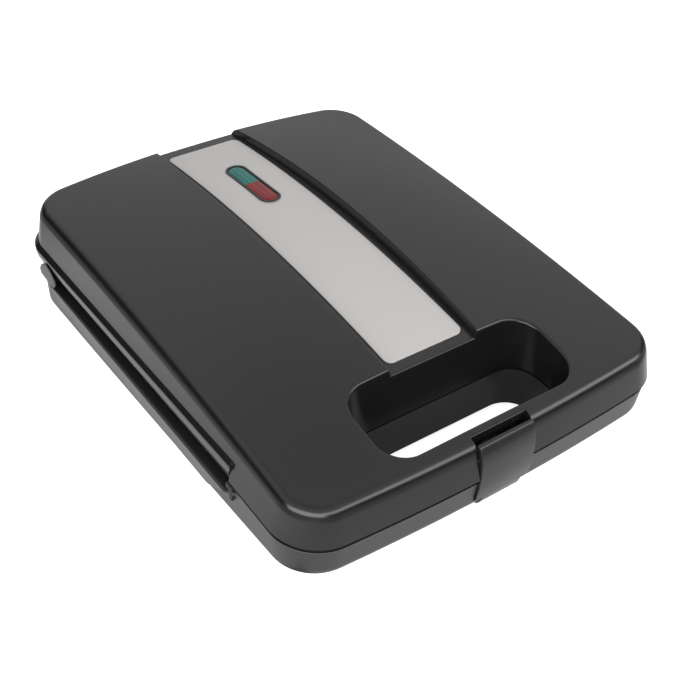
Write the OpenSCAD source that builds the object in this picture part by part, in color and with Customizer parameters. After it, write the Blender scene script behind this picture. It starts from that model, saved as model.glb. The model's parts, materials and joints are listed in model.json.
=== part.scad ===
// Sandwich toaster with a hinged lid, shown closed and latched on its four feet.
// Frame: +Z up, origin on the table under the middle of the whole, the handle end towards -Y, millimetres.
// The seam between lid and base lies in a plane that slopes down to the handle end. Nearly every
// piece is drawn in the seam frame, whose z is the height over that plane, and placed by seam().

/* [Body] */
// Width at the seam
body_w = 268.2; // [240:0.2:300]
// Depth at the corners, before the bow of the two ends
body_d = 340; // [300:1:380]
// Plan radius of the four corners
corner_r = 28; // [16:1:45]
// How far the front and rear edges bow outwards
end_bow = 6; // [0:0.5:12]
// Slope of the seam down to the handle end, degrees
seam_tilt = 4.2; // [0:0.2:8]
// Depth of the base under the seam at mid length
base_depth = 38.2; // [30:0.2:60]
// Opening of the seam all round
seam_gap = 1.6; // [0.8:0.1:3]

/* [Lid] */
// Height of the crown over the seam
crown_h = 46.5; // [35:0.5:60]
// Where the crown is highest, behind the middle
crown_y = 28; // [-20:1:60]
// Radius of the crown along the lid
crown_long_r = 818; // [600:1:1500]
// Fall of the crown 100 mm off the centre line
crown_cross = 8.9; // [4:0.1:14]
// Change of that fall per 100 mm towards the rear
crown_cross_slope = 1; // [-3:0.1:3]
// How much that fall flattens towards both ends
crown_cross_flat = 2.6; // [0:0.1:4]
// Draft of the skirt from the seam to its upper edge
skirt_draft = 4.5; // [1:0.1:8]
// Width of the rounding between skirt and top
edge_w = 6; // [3:0.5:10]
// Height of that rounding
edge_h = 6.3; // [3:0.1:10]
// Wall of the mouldings
wall = 2.6; // [2:0.1:4]

/* [Channel and trim] */
// Gap between the trim plate and each wall of the channel
trim_side = 2.4; // [1:0.1:5]
// How far each channel wall leans out
channel_lean = 3.5; // [1:0.1:6]
// Depth of the trim surface under the crown of the lid
trim_drop = 6.8; // [3:0.1:12]
// Where the trim surface is highest
trim_y = 27; // [0:1:60]
// Bend radius of the trim plate
trim_bend_r = 1041; // [700:1:1600]
// Half width of the trim plate
trim_half = 28; // [20:0.5:36]
// Distance from the handle opening to the trim plate
trim_front_gap = 6.7; // [4:0.1:16]
// Distance from the trim plate to the rear corners
trim_rear_gap = 10; // [6:0.5:30]
// Corner radius of the trim plate
trim_corner = 5; // [2:0.5:10]
// Thickness of the trim plate
trim_t = 0.8; // [0.4:0.1:1.5]

/* [Lamp window] */
// Middle of the lamp window ahead of the rear end of the trim plate
lamp_back = 67; // [45:1:90]
// Middle of the lamp window off the centre line
lamp_x = 1.6; // [-4:0.2:4]
// Length of the bezel
bezel_l = 57; // [40:1:70]
// Width of the bezel
bezel_w = 15.4; // [10:0.2:22]
// Rim of the bezel round the lenses
bezel_rim = 1.7; // [1:0.1:3]
// How far the bezel stands over the trim
bezel_stand = 0.7; // [0.3:0.1:2]

/* [Handle opening] */
// Half width of the opening in the lid top
grip_half = 67.3; // [50:0.1:80]
// Length of the opening in the lid top, front to rear
grip_d = 52.2; // [46:0.1:58]
// Width of the handle bar ahead of the opening
bar_w = 17.6; // [16:0.1:24]
// Corner radius of the opening
grip_corner = 17; // [10:0.5:24]
// How far each end of the opening leans in, down to the seam
grip_lean = 2.6; // [0:0.1:5]
// How far its rear wall leans forward, down to the seam
grip_lean_rear = 5.8; // [0:0.1:8]
// Rounding of the rim
grip_rim = 2; // [1:0.1:3]

/* [Side rails and slots] */
// How far the lid rail stands outside the seam line
rail_out = 1.4; // [0.5:0.1:3]
// Rail top over the seam at mid length
rail_top = 9.3; // [6:0.1:14]
// Rail underside over the seam at mid length
rail_bottom = -2.6; // [-6:0.1:0]
// Slope of the rail top along the lid
rail_top_slope = -0.045; // [-0.08:0.005:0]
// Slope of the rail underside
rail_bottom_slope = -0.02; // [-0.06:0.005:0]
// Distance from the front corners to the rails and slots
slot_front_in = 73; // [60:1:110]
// Distance from the slots to the rear corners
slot_rear_in = 43; // [38:1:80]
// Lower edge of the slot over the seam at mid length
slot_sill = -9.4; // [-16:0.1:-6]
// Slope of that edge
slot_sill_slope = -0.042; // [-0.08:0.002:0]
// How far the sill stands outside the seam line
sill_out = 3; // [1:0.1:5]

/* [Hinge] */
// Hinge axis behind the rear edge
hinge_back = 9; // [7:0.5:16]
// Hinge axis over the seam
hinge_z = -7; // [-14:0.5:0]
// Pin diameter
hinge_pin_d = 4; // [3:0.1:6]
// Running clearance on the radius
pin_clear = 0.05; // [0.02:0.01:0.1]
// Radius of the knuckles
knuckle_r = 5.6; // [4.5:0.1:6]
// Middle of each hinge in from the side
hinge_side = 50.1; // [44:0.1:80]
// Length of the lid knuckle
knuckle_l = 26; // [14:1:40]
// Length of each base ear
ear_l = 9; // [6:0.5:14]
// Side clearance between knuckle and ears
knuckle_gap = 0.5; // [0.3:0.1:1]

/* [Latch] */
// Half width of the latch
latch_half = 19.4; // [14:0.2:26]
// Half width of the tongue below it
tongue_half = 14.4; // [8:0.2:20]
// Latch axis behind the front edge
latch_back = 6.7; // [5:0.1:9]
// Latch axis over the seam
latch_z = 8; // [4:0.5:14]
// Latch pin diameter
latch_pin_d = 3; // [2:0.1:4]
// Side clearance of the latch in its recess
latch_gap = 0.6; // [0.3:0.1:1]

/* [Plates] */
// Gap between the plates and each side of the body
plate_side = 9.1; // [8:0.1:20]
// Distance from the handle opening to the plates
plate_front_gap = 2.2; // [1:0.1:8]
// Distance from the plates to the rear corners
plate_rear_gap = 22; // [16:0.5:40]
// Corner radius of the plates
plate_corner = 12; // [6:1:20]
// Thickness of the plate flange
plate_t = 3; // [2:0.1:5]
// Half the opening between the closed plates
plate_gap = 0.4; // [0.3:0.1:1]
// Level border of the plates beside the sandwich cells
plate_border = 10; // [8:0.5:20]
// Level border of the plates at the front and the rear
plate_border_end = 11; // [8:0.5:20]
// Depth of the pockets
pocket_h = 9; // [6:0.5:12]
// Half width of the ridges between pockets
ridge = 3.5; // [2:0.5:6]
// Draft of the pocket walls
pocket_draft = 5; // [2:0.5:9]

/* [Feet and cord inlet] */
// Height of the body over the table
foot_h = 3; // [2:0.5:8]
// Foot radius
foot_r = 8; // [5:0.5:14]
// Feet in from each side
foot_side = 36.1; // [24:0.1:60]
// Front feet behind the front corners
foot_front_in = 34; // [26:1:60]
// Rear feet ahead of the rear corners
foot_rear_in = 32; // [24:1:60]
// Bore of the cord gland
gland_bore = 7.2; // [6:0.1:9]
// Gland position off the centre line
gland_x = 38; // [-45:1:45]

/* [Hidden] */
$fn = 48;
corner_seg = 8;
end_seg = 10;
side_seg = 12;
seam_z = foot_h + base_depth * cos(seam_tilt);
front_y = -body_d / 2 - end_bow;
rear_y = body_d / 2 + end_bow;
grip_front = front_y + bar_w;
grip_rear = grip_front + grip_d;
grip_seam_half = grip_half - grip_lean;
grip_seam_rear = grip_rear - grip_lean_rear;
trim_h = crown_h - trim_drop;
trim_front = grip_rear + trim_front_gap;
trim_rear = body_d / 2 - trim_rear_gap;
channel_half = trim_half + trim_side;
lamp_y = trim_rear - lamp_back;
slot_front = slot_front_in - body_d / 2;
slot_rear = body_d / 2 - slot_rear_in;
hinge_x = body_w / 2 - hinge_side;
hinge_y = rear_y + hinge_back;
hinge_reach = knuckle_l / 2 + knuckle_gap + ear_l;
latch_y = front_y + latch_back;
plate_half = body_w / 2 - plate_side;
plate_front = grip_rear + plate_front_gap;
plate_rear = body_d / 2 - plate_rear_gap;
foot_x = body_w / 2 - foot_side;
foot_front = foot_front_in - body_d / 2;
foot_rear = body_d / 2 - foot_rear_in;
base_inset = 1.2;
base_wall_inset = 2.4;
base_round = 12;
base_side_bow = 0.8;
floor_t = 2.6;
plate_mid = (plate_front + plate_rear) / 2;
cell_x = plate_half - plate_border;
cell_y = (plate_rear - plate_front) / 2 - plate_border_end;
bulge_t = 2.5;
heater_d = 6.6;
heater_z = plate_gap + pocket_h + bulge_t + heater_d / 2 + 0.2;
heater_x = cell_x / 2 - 0.5;
heater_front = plate_front + 38;
heater_rear = plate_rear - 30;
heater_bend = 22;
clip_clear = 0.15;
clip_t = 1;
shield_t = 0.8;
shield_clear = 0.3;
shield_z = heater_z + heater_d / 2 + clip_clear + clip_t + shield_clear + shield_t;
shield_lip = 5;
screw_in = 6;
screw_x = plate_half - screw_in;
screw_y = [plate_front + screw_in, plate_rear - screw_in];
seat_gap = 0.1;
boss_r = 4.4;
boss_h = 5;
screw_d = 4;
post_r = 5.6;
head_r = 3.6;
head_h = 2.4;
web_t = 3;
thermostat_r = 8.2;
lid_gap = seam_gap / 2;
recess_in = 12.4;
recess_rear = front_y + recess_in;
latch_nose = [-1.7, 6];
mid_y = (cos(seam_tilt) * (hinge_y + front_y + latch_nose[0])
    - sin(seam_tilt) * (hinge_z + latch_nose[1]) + knuckle_r) / 2;
big = 400;

// Plan outlines: points run anticlockwise from the front left, the same number at every inset.

function bowed(p, side_bow) = [
    p[0] * (1 + 2 * side_bow / body_w * (1 - pow(2 * p[1] / body_d, 2))),
    p[1] * (1 + 2 * end_bow / body_d * (1 - pow(2 * p[0] / body_w, 2)))];

function outline(inset, side_bow = 0) = let (
    w = body_w / 2 - inset,
    d = body_d / 2 - inset,
    r = max(corner_r - inset, 3),
    a = 90 / corner_seg,
    quarter = [for (i = [0 : corner_seg - 1]) [sin(a * i), cos(a * i)]],
    ring = concat(
        [for (i = [0 : end_seg - 1]) [-w + r + 2 * (w - r) * i / end_seg, -d]],
        [for (q = quarter) [w - r + r * q[0], -d + r - r * q[1]]],
        [for (i = [0 : side_seg - 1]) [w, -d + r + 2 * (d - r) * i / side_seg]],
        [for (q = quarter) [w - r + r * q[1], d - r + r * q[0]]],
        [for (i = [0 : end_seg - 1]) [w - r - 2 * (w - r) * i / end_seg, d]],
        [for (q = quarter) [-w + r - r * q[0], d - r + r * q[1]]],
        [for (i = [0 : side_seg - 1]) [-w, d - r - 2 * (d - r) * i / side_seg]],
        [for (q = quarter) [-w + r - r * q[1], -d + r - r * q[0]]]))
    [for (p = ring) bowed(p, side_bow)];

function rounded(x0, x1, y0, y1, r, n = 8) = concat(
    [for (i = [0 : n]) [x1 - r + r * sin(90 * i / n), y0 + r - r * cos(90 * i / n)]],
    [for (i = [0 : n]) [x1 - r + r * cos(90 * i / n), y1 - r + r * sin(90 * i / n)]],
    [for (i = [0 : n]) [x0 + r - r * sin(90 * i / n), y1 - r + r * cos(90 * i / n)]],
    [for (i = [0 : n]) [x0 + r - r * cos(90 * i / n), y0 + r - r * sin(90 * i / n)]]);

// The same about the centre line, from its half width and its front and rear edges.
function centred(half, front, rear, r) = rounded(-half, half, front, rear, r);

// Heights in the seam frame.

function cross_fall(y) = (crown_cross + crown_cross_slope * y / 100
    - crown_cross_flat * pow(y / 100, 2)) / 10000;
function crown(x, y) = crown_h - pow(y - crown_y, 2) / (2 * crown_long_r) - cross_fall(y) * x * x;
function trim_surface(y) = trim_h - trim_bend_r + sqrt(pow(trim_bend_r, 2) - pow(y - trim_y, 2));
function table_z(y) = -(seam_z + y * sin(seam_tilt)) / cos(seam_tilt);
function base_floor(y) = table_z(y) + foot_h / cos(seam_tilt);
function rail_top_z(y) = rail_top + rail_top_slope * y;
function rail_bottom_z(y) = rail_bottom + rail_bottom_slope * y;
function sill_z(y) = slot_sill + slot_sill_slope * y;

// Solids between rings. capped() closes both ends flat, domed() ends in one point, band() closes on itself.

function ring_sides(n, m, wrap) = [for (k = [0 : m - (wrap ? 1 : 2)]) for (i = [0 : n - 1]) let (
    a = k * n + i,
    b = k * n + (i + 1) % n,
    up = ((k + 1) % m) * n,
    c = up + (i + 1) % n,
    d = up + i)
    each [[a, d, c], [a, c, b]]];

module capped(rings) {
    n = len(rings[0]);
    m = len(rings);
    polyhedron([for (r = rings) each r],
        concat([[for (i = [0 : n - 1]) i]], ring_sides(n, m, false),
            [[for (i = [n - 1 : -1 : 0]) (m - 1) * n + i]]));
}

module domed(rings, tip) {
    n = len(rings[0]);
    m = len(rings);
    polyhedron(concat([for (r = rings) each r], [tip]),
        concat([[for (i = [0 : n - 1]) i]], ring_sides(n, m, false),
            [for (i = [0 : n - 1]) [m * n, (m - 1) * n + (i + 1) % n, (m - 1) * n + i]]));
}

module band(rings) {
    polyhedron([for (r = rings) each r], ring_sides(len(rings[0]), len(rings), true));
}

function flat(points, z) = [for (p = points) [p[0], p[1], z]];
function on_crown(points, drop) = [for (p = points) [p[0], p[1], crown(p[0], p[1]) - drop]];
function shrunk(points, s) = [for (p = points) p * s];

module seam() {
    translate([0, -mid_y, seam_z]) rotate([seam_tilt, 0, 0]) children();
}

module both_sides() {
    children();
    mirror([1, 0, 0]) children();
}

// A profile drawn as [y, z] and run across the body from x0 to x1.
module across(x0, x1) {
    translate([x0, 0, 0]) rotate([90, 0, 90]) linear_extrude(x1 - x0) children();
}

module round_rect(x0, x1, y0, y1, r) {
    translate([x0 + r, y0]) square([x1 - x0 - 2 * r, y1 - y0]);
    translate([x0, y0 + r]) square([x1 - x0, y1 - y0 - 2 * r]);
    for (x = [x0 + r, x1 - r])
        for (y = [y0 + r, y1 - r])
            translate([x, y]) circle(r);
}

module at_screws() {
    for (x = [-screw_x, screw_x])
        for (y = screw_y)
            translate([x, y, 0]) children();
}

module rod_x(y, z, x0, x1, r) {
    translate([x0, y, z]) rotate([0, 90, 0]) cylinder(h = x1 - x0, r = r);
}

// Base.

module base_body() {
    capped(concat(
        [for (a = [0 : 18 : 90]) let (inset = base_wall_inset + base_round * (1 - sin(a)))
            [for (p = outline(inset, base_side_bow)) [p[0], p[1], base_floor(p[1]) + base_round * (1 - cos(a))]]],
        [flat(outline(base_inset), -lid_gap)]));
}

module base_room() {
    r = base_round - wall;
    capped(concat(
        [for (a = [0 : 30 : 90]) let (inset = base_wall_inset + wall + r * (1 - sin(a)))
            [for (p = outline(inset, base_side_bow)) [p[0], p[1], base_floor(p[1]) + floor_t + r * (1 - cos(a))]]],
        [flat(outline(base_inset + wall), 2)]));
}

grip_mid_front = grip_front + 1.6;
grip_low_half = grip_seam_half + 1.2;
grip_low_rear = grip_seam_rear + 1.4;
grip_low_z = base_floor(grip_rear) - 8;

// Handle opening below the seam, grown by g on every side.
module grip_low(g) {
    capped([
        flat(centred(grip_low_half + g, grip_front + 0.4 - g, grip_low_rear + g, grip_corner + g), grip_low_z),
        flat(centred(grip_seam_half + g, grip_mid_front - g, grip_seam_rear + g, grip_corner + g), 3)]);
}

sill_low = 20;
sill_lean = 4.4;
sill_sweep = 26;

// Plan of the sill as [how far out from its root, y], both ends running out at a slant.
function sill_ring(lean, drop) = let (
    root = body_w / 2 - base_inset - 1.6,
    out = body_w / 2 + sill_out - lean,
    back = drop > sill_low / 2 ? sill_sweep : 0,
    mid = (slot_front + slot_rear) / 2)
    [for (p = [[root, slot_front - 8 + back], [out, slot_front + 1 + back], [out, mid], [out, slot_rear],
        [root, slot_rear + 9]]) [p[0], p[1], sill_z(p[1]) - drop]];

module sill() {
    capped([sill_ring(sill_lean, sill_low), sill_ring(0.9, 2.2), sill_ring(0, 0.8), sill_ring(0.8, 0)]);
}

module slot_cut() {
    across(body_w / 2 - 12, body_w / 2 + 8)
        polygon([[slot_front, sill_z(slot_front)], [slot_rear, sill_z(slot_rear)],
            [slot_rear, 6], [slot_front, 6]]);
}

module rear_cut() {
    across(-big / 2, big / 2)
        polygon([[slot_rear - 0.5, rail_bottom_z(slot_rear) - 1.2], [big, rail_bottom_z(big) - 1.2], [big, 9],
            [slot_rear - 0.5, 9]]);
}

front_clear = 14;
toe_z = 12 - base_depth;
notch_in = 8;
notch_wide_in = 4.4;
notch_step = toe_z + 8.7;

// Recess in the front of the base that the latch hangs in, grown by g: wide above, narrow below.
module latch_notch(g) {
    wide = latch_half + latch_gap + g;
    narrow = tongue_half + latch_gap + g;
    translate([-wide, front_y - front_clear, notch_step - g])
        cube([2 * wide, front_clear + notch_wide_in + g, 30 + g]);
    translate([-narrow, front_y - front_clear, toe_z - 34])
        cube([2 * narrow, front_clear + notch_in + g, 80]);
}

post_web_z = -plate_gap - plate_t - boss_h - seat_gap;

// Posts round the lower plate's screws, and their bores from below.
module base_posts() {
    for (x = [-screw_x, screw_x])
        for (y = screw_y)
            translate([x, y, base_floor(y) + 1]) cylinder(h = post_web_z - base_floor(y) - 1, r = post_r);
}

module base_post_bores() {
    at_screws() translate([0, 0, -2 * base_depth]) {
        cylinder(h = 2 * base_depth + post_web_z - web_t, r = head_r + 0.5);
        cylinder(h = 2 * base_depth + 10, r = screw_d / 2 + 0.25);
    }
}

block_x = gland_x;
block_y = heater_rear;
block_z = base_floor(block_y) + floor_t + 2;
block_bore_z = 4;
lead_r = 1.3;

// Two ledges that carry the terminal block.
module block_ledges() {
    for (x = [-5, 5])
        translate([block_x + x - 1, block_y - 6, base_floor(block_y) + 1])
            cube([2, 12, block_z - base_floor(block_y) - 1]);
}

shield_half = plate_half - 13;
shield_front = plate_front + 6;
shield_rear = plate_rear - 14;
shield_post_r = 3.2;
shield_post_x = shield_half - 24;
shield_post_y = [shield_front + 40, shield_rear - 38];
shield_post = [for (x = [-shield_post_x, shield_post_x]) for (y = shield_post_y) [x, y]];
rib_t = 1.8;
rib_half = shield_half - 12;
rib_front = shield_front + 6;
rib_rear = shield_rear - 2;

// Ribs on the floor of the base, and the posts that carry the heat shield.
module base_ribs() {
    for (y = [rib_front, (rib_front + rib_rear) / 2, rib_rear])
        translate([-rib_half, y - rib_t / 2, base_floor(y) + 1]) cube([2 * rib_half, rib_t, y < 0 ? 7 : 9]);
    for (x = [-rib_half + 30, rib_half - 30])
        across(x - rib_t / 2, x + rib_t / 2)
            polygon([[rib_front, base_floor(rib_front) + 1], [rib_rear, base_floor(rib_rear) + 1],
                [rib_rear, base_floor(rib_rear) + 9], [rib_front, base_floor(rib_front) + 8]]);
    for (p = shield_post)
        translate([p[0], p[1], base_floor(p[1]) + 1])
            cylinder(h = -shield_z - base_floor(p[1]) - 1.1, r = shield_post_r);
}

vent_pitch = 12;
vent_w = 3;
vent_l = 32;

// A row of long slots through the floor under the plates.
module vents() {
    for (i = [-4 : 4])
        translate([i * vent_pitch, plate_mid + 40, table_z(0) - 40]) linear_extrude(60) {
            translate([-vent_w / 2, -vent_l / 2]) square([vent_w, vent_l]);
            for (y = [-vent_l / 2, vent_l / 2])
                translate([0, y]) circle(vent_w / 2);
        }
}

ear_reach = 14;

// Two ears of one hinge, standing off the rear wall of the base.
module base_ears() {
    for (s = [-1, 1]) {
        x0 = hinge_x + s * (knuckle_l / 2 + knuckle_gap + ear_l / 2) - ear_l / 2;
        rod_x(hinge_y, hinge_z, x0, x0 + ear_l, knuckle_r);
        across(x0, x0 + ear_l)
            polygon([[hinge_y - 14, hinge_z - ear_reach - 10], [hinge_y - 14, hinge_z - 2.2],
                [hinge_y - 1, hinge_z - 2.2], [hinge_y + knuckle_r * 0.94, hinge_z - 1.9],
                [hinge_y + knuckle_r * 0.4, hinge_z - 8]]);
    }
}

gland_r = 6.4;
gland_rise = 11.2;
gland_in = 8;
gland_z = gland_rise - base_depth;
gland_y0 = rear_y - base_wall_inset - gland_in;

// The gland lies along its own Z, pointing out through the rear wall.
module at_gland() {
    translate([gland_x, gland_y0, gland_z]) rotate([-90, 0, 0]) children();
}

module base_housing() {
    color([0.1, 0.1, 0.105]) seam() difference() {
        union() {
            difference() {
                union() {
                    base_body();
                    both_sides() sill();
                }
                difference() {
                    base_room();
                    grip_low(wall);
                    latch_notch(2.2);
                }
            }
            base_posts();
            base_ribs();
            block_ledges();
            both_sides() base_ears();
            at_gland() translate([0, 0, -1]) cylinder(h = 8, r = gland_r + 3);
        }
        grip_low(0);
        latch_notch(0);
        both_sides() slot_cut();
        rear_cut();
        base_post_bores();
        vents();
        both_sides()
            rod_x(hinge_y, hinge_z, hinge_x - hinge_reach - 1, hinge_x + hinge_reach + 1, hinge_pin_d / 2);
        at_gland() translate([0, 0, -10]) cylinder(h = 40, r = gland_r);
        foot_sockets();
    }
}

foot_plug_r = 4;
foot_plug_h = 2;

module at_feet() {
    for (x = [-foot_x, foot_x])
        for (y = [foot_front, foot_rear])
            translate([x, y - mid_y, 0]) children();
}

// The feet stand square to the table, so their sockets are turned back out of the seam frame.
module foot_sockets() {
    rotate([-seam_tilt, 0, 0]) translate([0, mid_y, -seam_z]) at_feet()
        translate([0, 0, foot_h - 0.5]) cylinder(h = foot_plug_h + 0.5 + 0.05, r = foot_plug_r + 0.05);
}

module feet() {
    color([0.07, 0.07, 0.07]) at_feet() rotate_extrude()
        polygon([[0, 0], [foot_r - 1.2, 0], [foot_r, 1], [foot_r, foot_h - 0.05], [foot_plug_r, foot_h - 0.05],
            [foot_plug_r, foot_h + foot_plug_h - 0.1], [0, foot_h + foot_plug_h - 0.1]]);
}

module cord_gland() {
    color([0.12, 0.12, 0.12]) seam() at_gland() difference() {
        union() {
            cylinder(h = 12, r = gland_r - 0.1);
            translate([0, 0, 8.3]) cylinder(h = 3.2, r = gland_r + 2);
            translate([0, 0, -4.2]) cylinder(h = 3, r = gland_r + 1.6);
            translate([0, 0, -2]) cylinder(h = 4, r = gland_r - 0.1);
        }
        translate([0, 0, -10]) cylinder(h = 40, r = gland_bore / 2);
    }
}

module hinge_pins() {
    color([0.6, 0.61, 0.62]) seam() both_sides()
        rod_x(hinge_y, hinge_z, hinge_x - hinge_reach + 0.4, hinge_x + hinge_reach - 0.4, hinge_pin_d / 2);
}

// Plates, drawn for the lower one with the cooking side up, flange top at -plate_gap.

// Right-angled pocket with its corner at the origin and legs a and b, tapering down. Its three
// walls are inset alike, so the long side moves in by inset times its length over a times b.
module wedge(a, b, inset, draft, h) {
    k = norm([a, b]) / (a * b);
    tri = function (d) [[d, d], [a * (1 - d * (k + 1 / b)), d], [d, b * (1 - d * (k + 1 / a))]];
    capped([flat(tri(inset + draft), -h), flat(tri(inset), 0)]);
}

module wedges(inset, draft, h) {
    for (sx = [0, 1])
        for (sy = [0, 1])
            mirror([sx, 0, 0]) mirror([0, sy, 0]) {
                translate([cell_x, 0, 0]) rotate([0, 0, 90]) wedge(cell_y, cell_x, inset, draft, h);
                translate([0, cell_y, 0]) rotate([0, 0, -90]) wedge(cell_y, cell_x, inset, draft, h);
            }
}

groove_in = 3;
groove_w = 2.5;
pad_h = 2.5;

module plate_plan(inset) {
    half_d = (plate_rear - plate_front) / 2 - inset;
    round_rect(inset - plate_half, plate_half - inset, -half_d, half_d, plate_corner - inset);
}

// Flange, pockets, screw bosses and thermostat pad of one plate, with a shallow groove round the cells.
module plate_shape() {
    translate([0, plate_mid, -plate_gap]) difference() {
        union() {
            translate([0, 0, -plate_t]) linear_extrude(plate_t) plate_plan(0);
            translate([0, 0, -0.5]) wedges(ridge - bulge_t, pocket_draft, pocket_h + bulge_t - 0.5);
            at_screws() translate([0, -plate_mid, -plate_t - boss_h]) cylinder(h = boss_h + 1, r = boss_r);
            translate([0, 0, -plate_t - pad_h]) cylinder(h = pad_h + 0.5, r = thermostat_r + 2);
        }
        translate([0, 0, 0.01]) wedges(ridge, pocket_draft, pocket_h);
        translate([0, 0, -1]) linear_extrude(2) difference() {
            plate_plan(groove_in);
            plate_plan(groove_in + groove_w);
        }
    }
}

module lower_plate() {
    color([0.17, 0.17, 0.18]) seam() difference() {
        plate_shape();
        at_screws() translate([0, 0, -plate_gap - plate_t - boss_h - 1])
            cylinder(h = boss_h + 2, r = screw_d / 2 + 0.05);
    }
}

module upper_plate() {
    color([0.17, 0.17, 0.18]) seam() difference() {
        mirror([0, 0, 1]) plate_shape();
        at_screws() translate([0, 0, -1]) {
            cylinder(h = 20, r = screw_d / 2 + 0.2);
            cylinder(h = 1 + plate_gap + head_h + seat_gap, r = head_r + 0.2);
        }
    }
}

// Tubular element bent to a U with its cold ends turned in at the rear.
module heater_shape() {
    r = heater_d / 2;
    leg = heater_front + heater_bend;
    both_sides() {
        translate([heater_x, leg, 0]) rotate([-90, 0, 0]) cylinder(h = heater_rear - heater_bend - leg, r = r);
        translate([heater_x - heater_bend, leg, 0]) rotate([0, 0, -90])
            rotate_extrude(angle = 90) translate([heater_bend, 0]) circle(r);
        translate([heater_x - heater_bend, heater_rear - heater_bend, 0])
            rotate_extrude(angle = 90) translate([heater_bend, 0]) circle(r);
        rod_x(heater_rear, 0, 18, heater_x - heater_bend, r);
        rod_x(heater_rear, 0, 11, 19, 1.3);
        translate([10, heater_rear - 3, -0.4]) cube([4, 6, 0.8]);
    }
    rod_x(heater_front, 0, heater_bend - heater_x, heater_x - heater_bend, r);
}

module lower_heater() {
    color([0.45, 0.45, 0.44]) seam() translate([0, 0, -heater_z]) heater_shape();
}

module upper_heater() {
    color([0.45, 0.45, 0.44]) seam() translate([0, 0, heater_z]) heater_shape();
}

clip_y = [heater_front + 36, heater_rear - 42];
clip_l = 10;
clip_tab = 6.4;

// Sheet clips that hold the element up to the pocket floors; drawn under a lower plate.
module clip_shape() {
    inner = heater_d / 2 + clip_clear;
    outer = inner + clip_t;
    top = heater_d / 2 + 0.1;
    for (x = [-heater_x, heater_x])
        for (y = clip_y)
            translate([x, y - clip_l / 2, -heater_z]) {
                difference() {
                    union() {
                        rotate([-90, 0, 0]) cylinder(h = clip_l, r = outer);
                        translate([-outer, 0, 0]) cube([2 * outer, clip_l, top]);
                    }
                    translate([0, -1, 0]) rotate([-90, 0, 0]) cylinder(h = clip_l + 2, r = inner);
                    translate([-inner, -1, 0]) cube([2 * inner, clip_l + 2, outer + 1]);
                }
                for (s = [-1, 1])
                    translate([s * (outer + clip_tab / 2 - 0.2) - clip_tab / 2, 0, top - clip_t])
                        cube([clip_tab, clip_l, clip_t]);
            }
}

module lower_heater_clips() {
    color([0.7, 0.7, 0.7]) seam() clip_shape();
}

module upper_heater_clips() {
    color([0.7, 0.7, 0.7]) seam() mirror([0, 0, 1]) clip_shape();
}

// Bright tray behind the element, open towards the plate, lying on the posts of the housing.
module shield_shape() {
    difference() {
        translate([0, 0, -shield_z]) linear_extrude(shield_lip)
            round_rect(-shield_half, shield_half, shield_front, shield_rear, 8);
        translate([0, 0, -shield_z + shield_t]) linear_extrude(shield_lip)
            round_rect(-shield_half + shield_t, shield_half - shield_t, shield_front + shield_t,
                shield_rear - shield_t, 8 - shield_t);
        translate([0, plate_mid, -shield_z - 1]) cylinder(h = 4, r = thermostat_r + 3);
        translate([-16, heater_rear - 8, -shield_z - 1]) cube([32, 12, 4]);
    }
}

module lower_heat_shield() {
    color([0.75, 0.75, 0.76]) seam() shield_shape();
}

module upper_heat_shield() {
    color([0.75, 0.75, 0.76]) seam() mirror([0, 0, 1]) shield_shape();
}

// Pan-head screw, head down, shank pointing up.
module screw(length) {
    difference() {
        union() {
            translate([0, 0, -head_h]) cylinder(h = head_h, r = head_r);
            cylinder(h = length, r = screw_d / 2);
        }
        for (a = [0, 90])
            rotate([0, 0, a]) translate([-2, -0.5, -head_h - 1]) cube([4, 1, 2.2]);
    }
}

module lower_plate_screws() {
    color([0.66, 0.66, 0.67]) seam() at_screws()
        translate([0, 0, post_web_z - web_t]) screw(web_t + boss_h + 0.8);
}

module upper_plate_screws() {
    color([0.66, 0.66, 0.67]) seam() at_screws()
        translate([0, 0, plate_gap + head_h + seat_gap]) screw(15);
}

thermostat_top = -plate_gap - plate_t - pad_h;

module thermostat() {
    color([0.72, 0.68, 0.6]) seam() translate([0, plate_mid, thermostat_top]) {
        translate([0, 0, -3]) cylinder(h = 2.9, r = thermostat_r);
        translate([0, 0, -11]) cylinder(h = 9, r = thermostat_r - 1.2);
        for (x = [-1, 1]) {
            translate([x * 5 - 0.4, -3, -17]) cube([0.8, 6, 7]);
            translate([x > 0 ? 4.6 : -11, -3, -17]) cube([6.4, 6, 0.8]);
        }
    }
}

fuse_y = heater_rear - 20;
fuse_z = -shield_z - 6;
fuse_r = 2;
fuse_l = 24;
fuse_wire = 7;
saddle = [8, 6.4, 9];

// Cylindrical thermal fuse with its two wires, held under the heat shield by a small ceramic saddle.
module thermal_fuse() {
    color([0.8, 0.76, 0.66]) seam() {
        rod_x(fuse_y, fuse_z, -fuse_l / 2, fuse_l / 2, fuse_r);
        rod_x(fuse_y, fuse_z, -fuse_l / 2 - fuse_wire, fuse_l / 2 + fuse_wire, 0.6);
        translate([-saddle[0] / 2, fuse_y - saddle[1] / 2, fuse_z - saddle[1] / 2]) difference() {
            cube(saddle);
            translate([-1, saddle[1] / 2, saddle[1] / 2]) rotate([0, 90, 0])
                cylinder(h = saddle[0] + 2, r = fuse_r + 0.15);
            translate([-1, 1.2, saddle[1] / 2 + 1.8]) cube([saddle[0] + 2, saddle[1] - 2.4, saddle[2]]);
        }
    }
}

module terminal_block() {
    color([0.86, 0.86, 0.84]) seam() translate([block_x, block_y, block_z]) difference() {
        union() {
            translate([-16, -7, 0]) cube([32, 14, 9]);
            for (x = [-10, 0, 10])
                translate([x, 0, 0]) cylinder(h = 12, r = 3.6);
        }
        for (x = [-10, 0, 10]) {
            translate([x, 0, 6]) cylinder(h = 10, r = 2);
            translate([x, -10, block_bore_z]) rotate([-90, 0, 0]) cylinder(h = 20, r = lead_r + 0.4);
        }
    }
}

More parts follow.
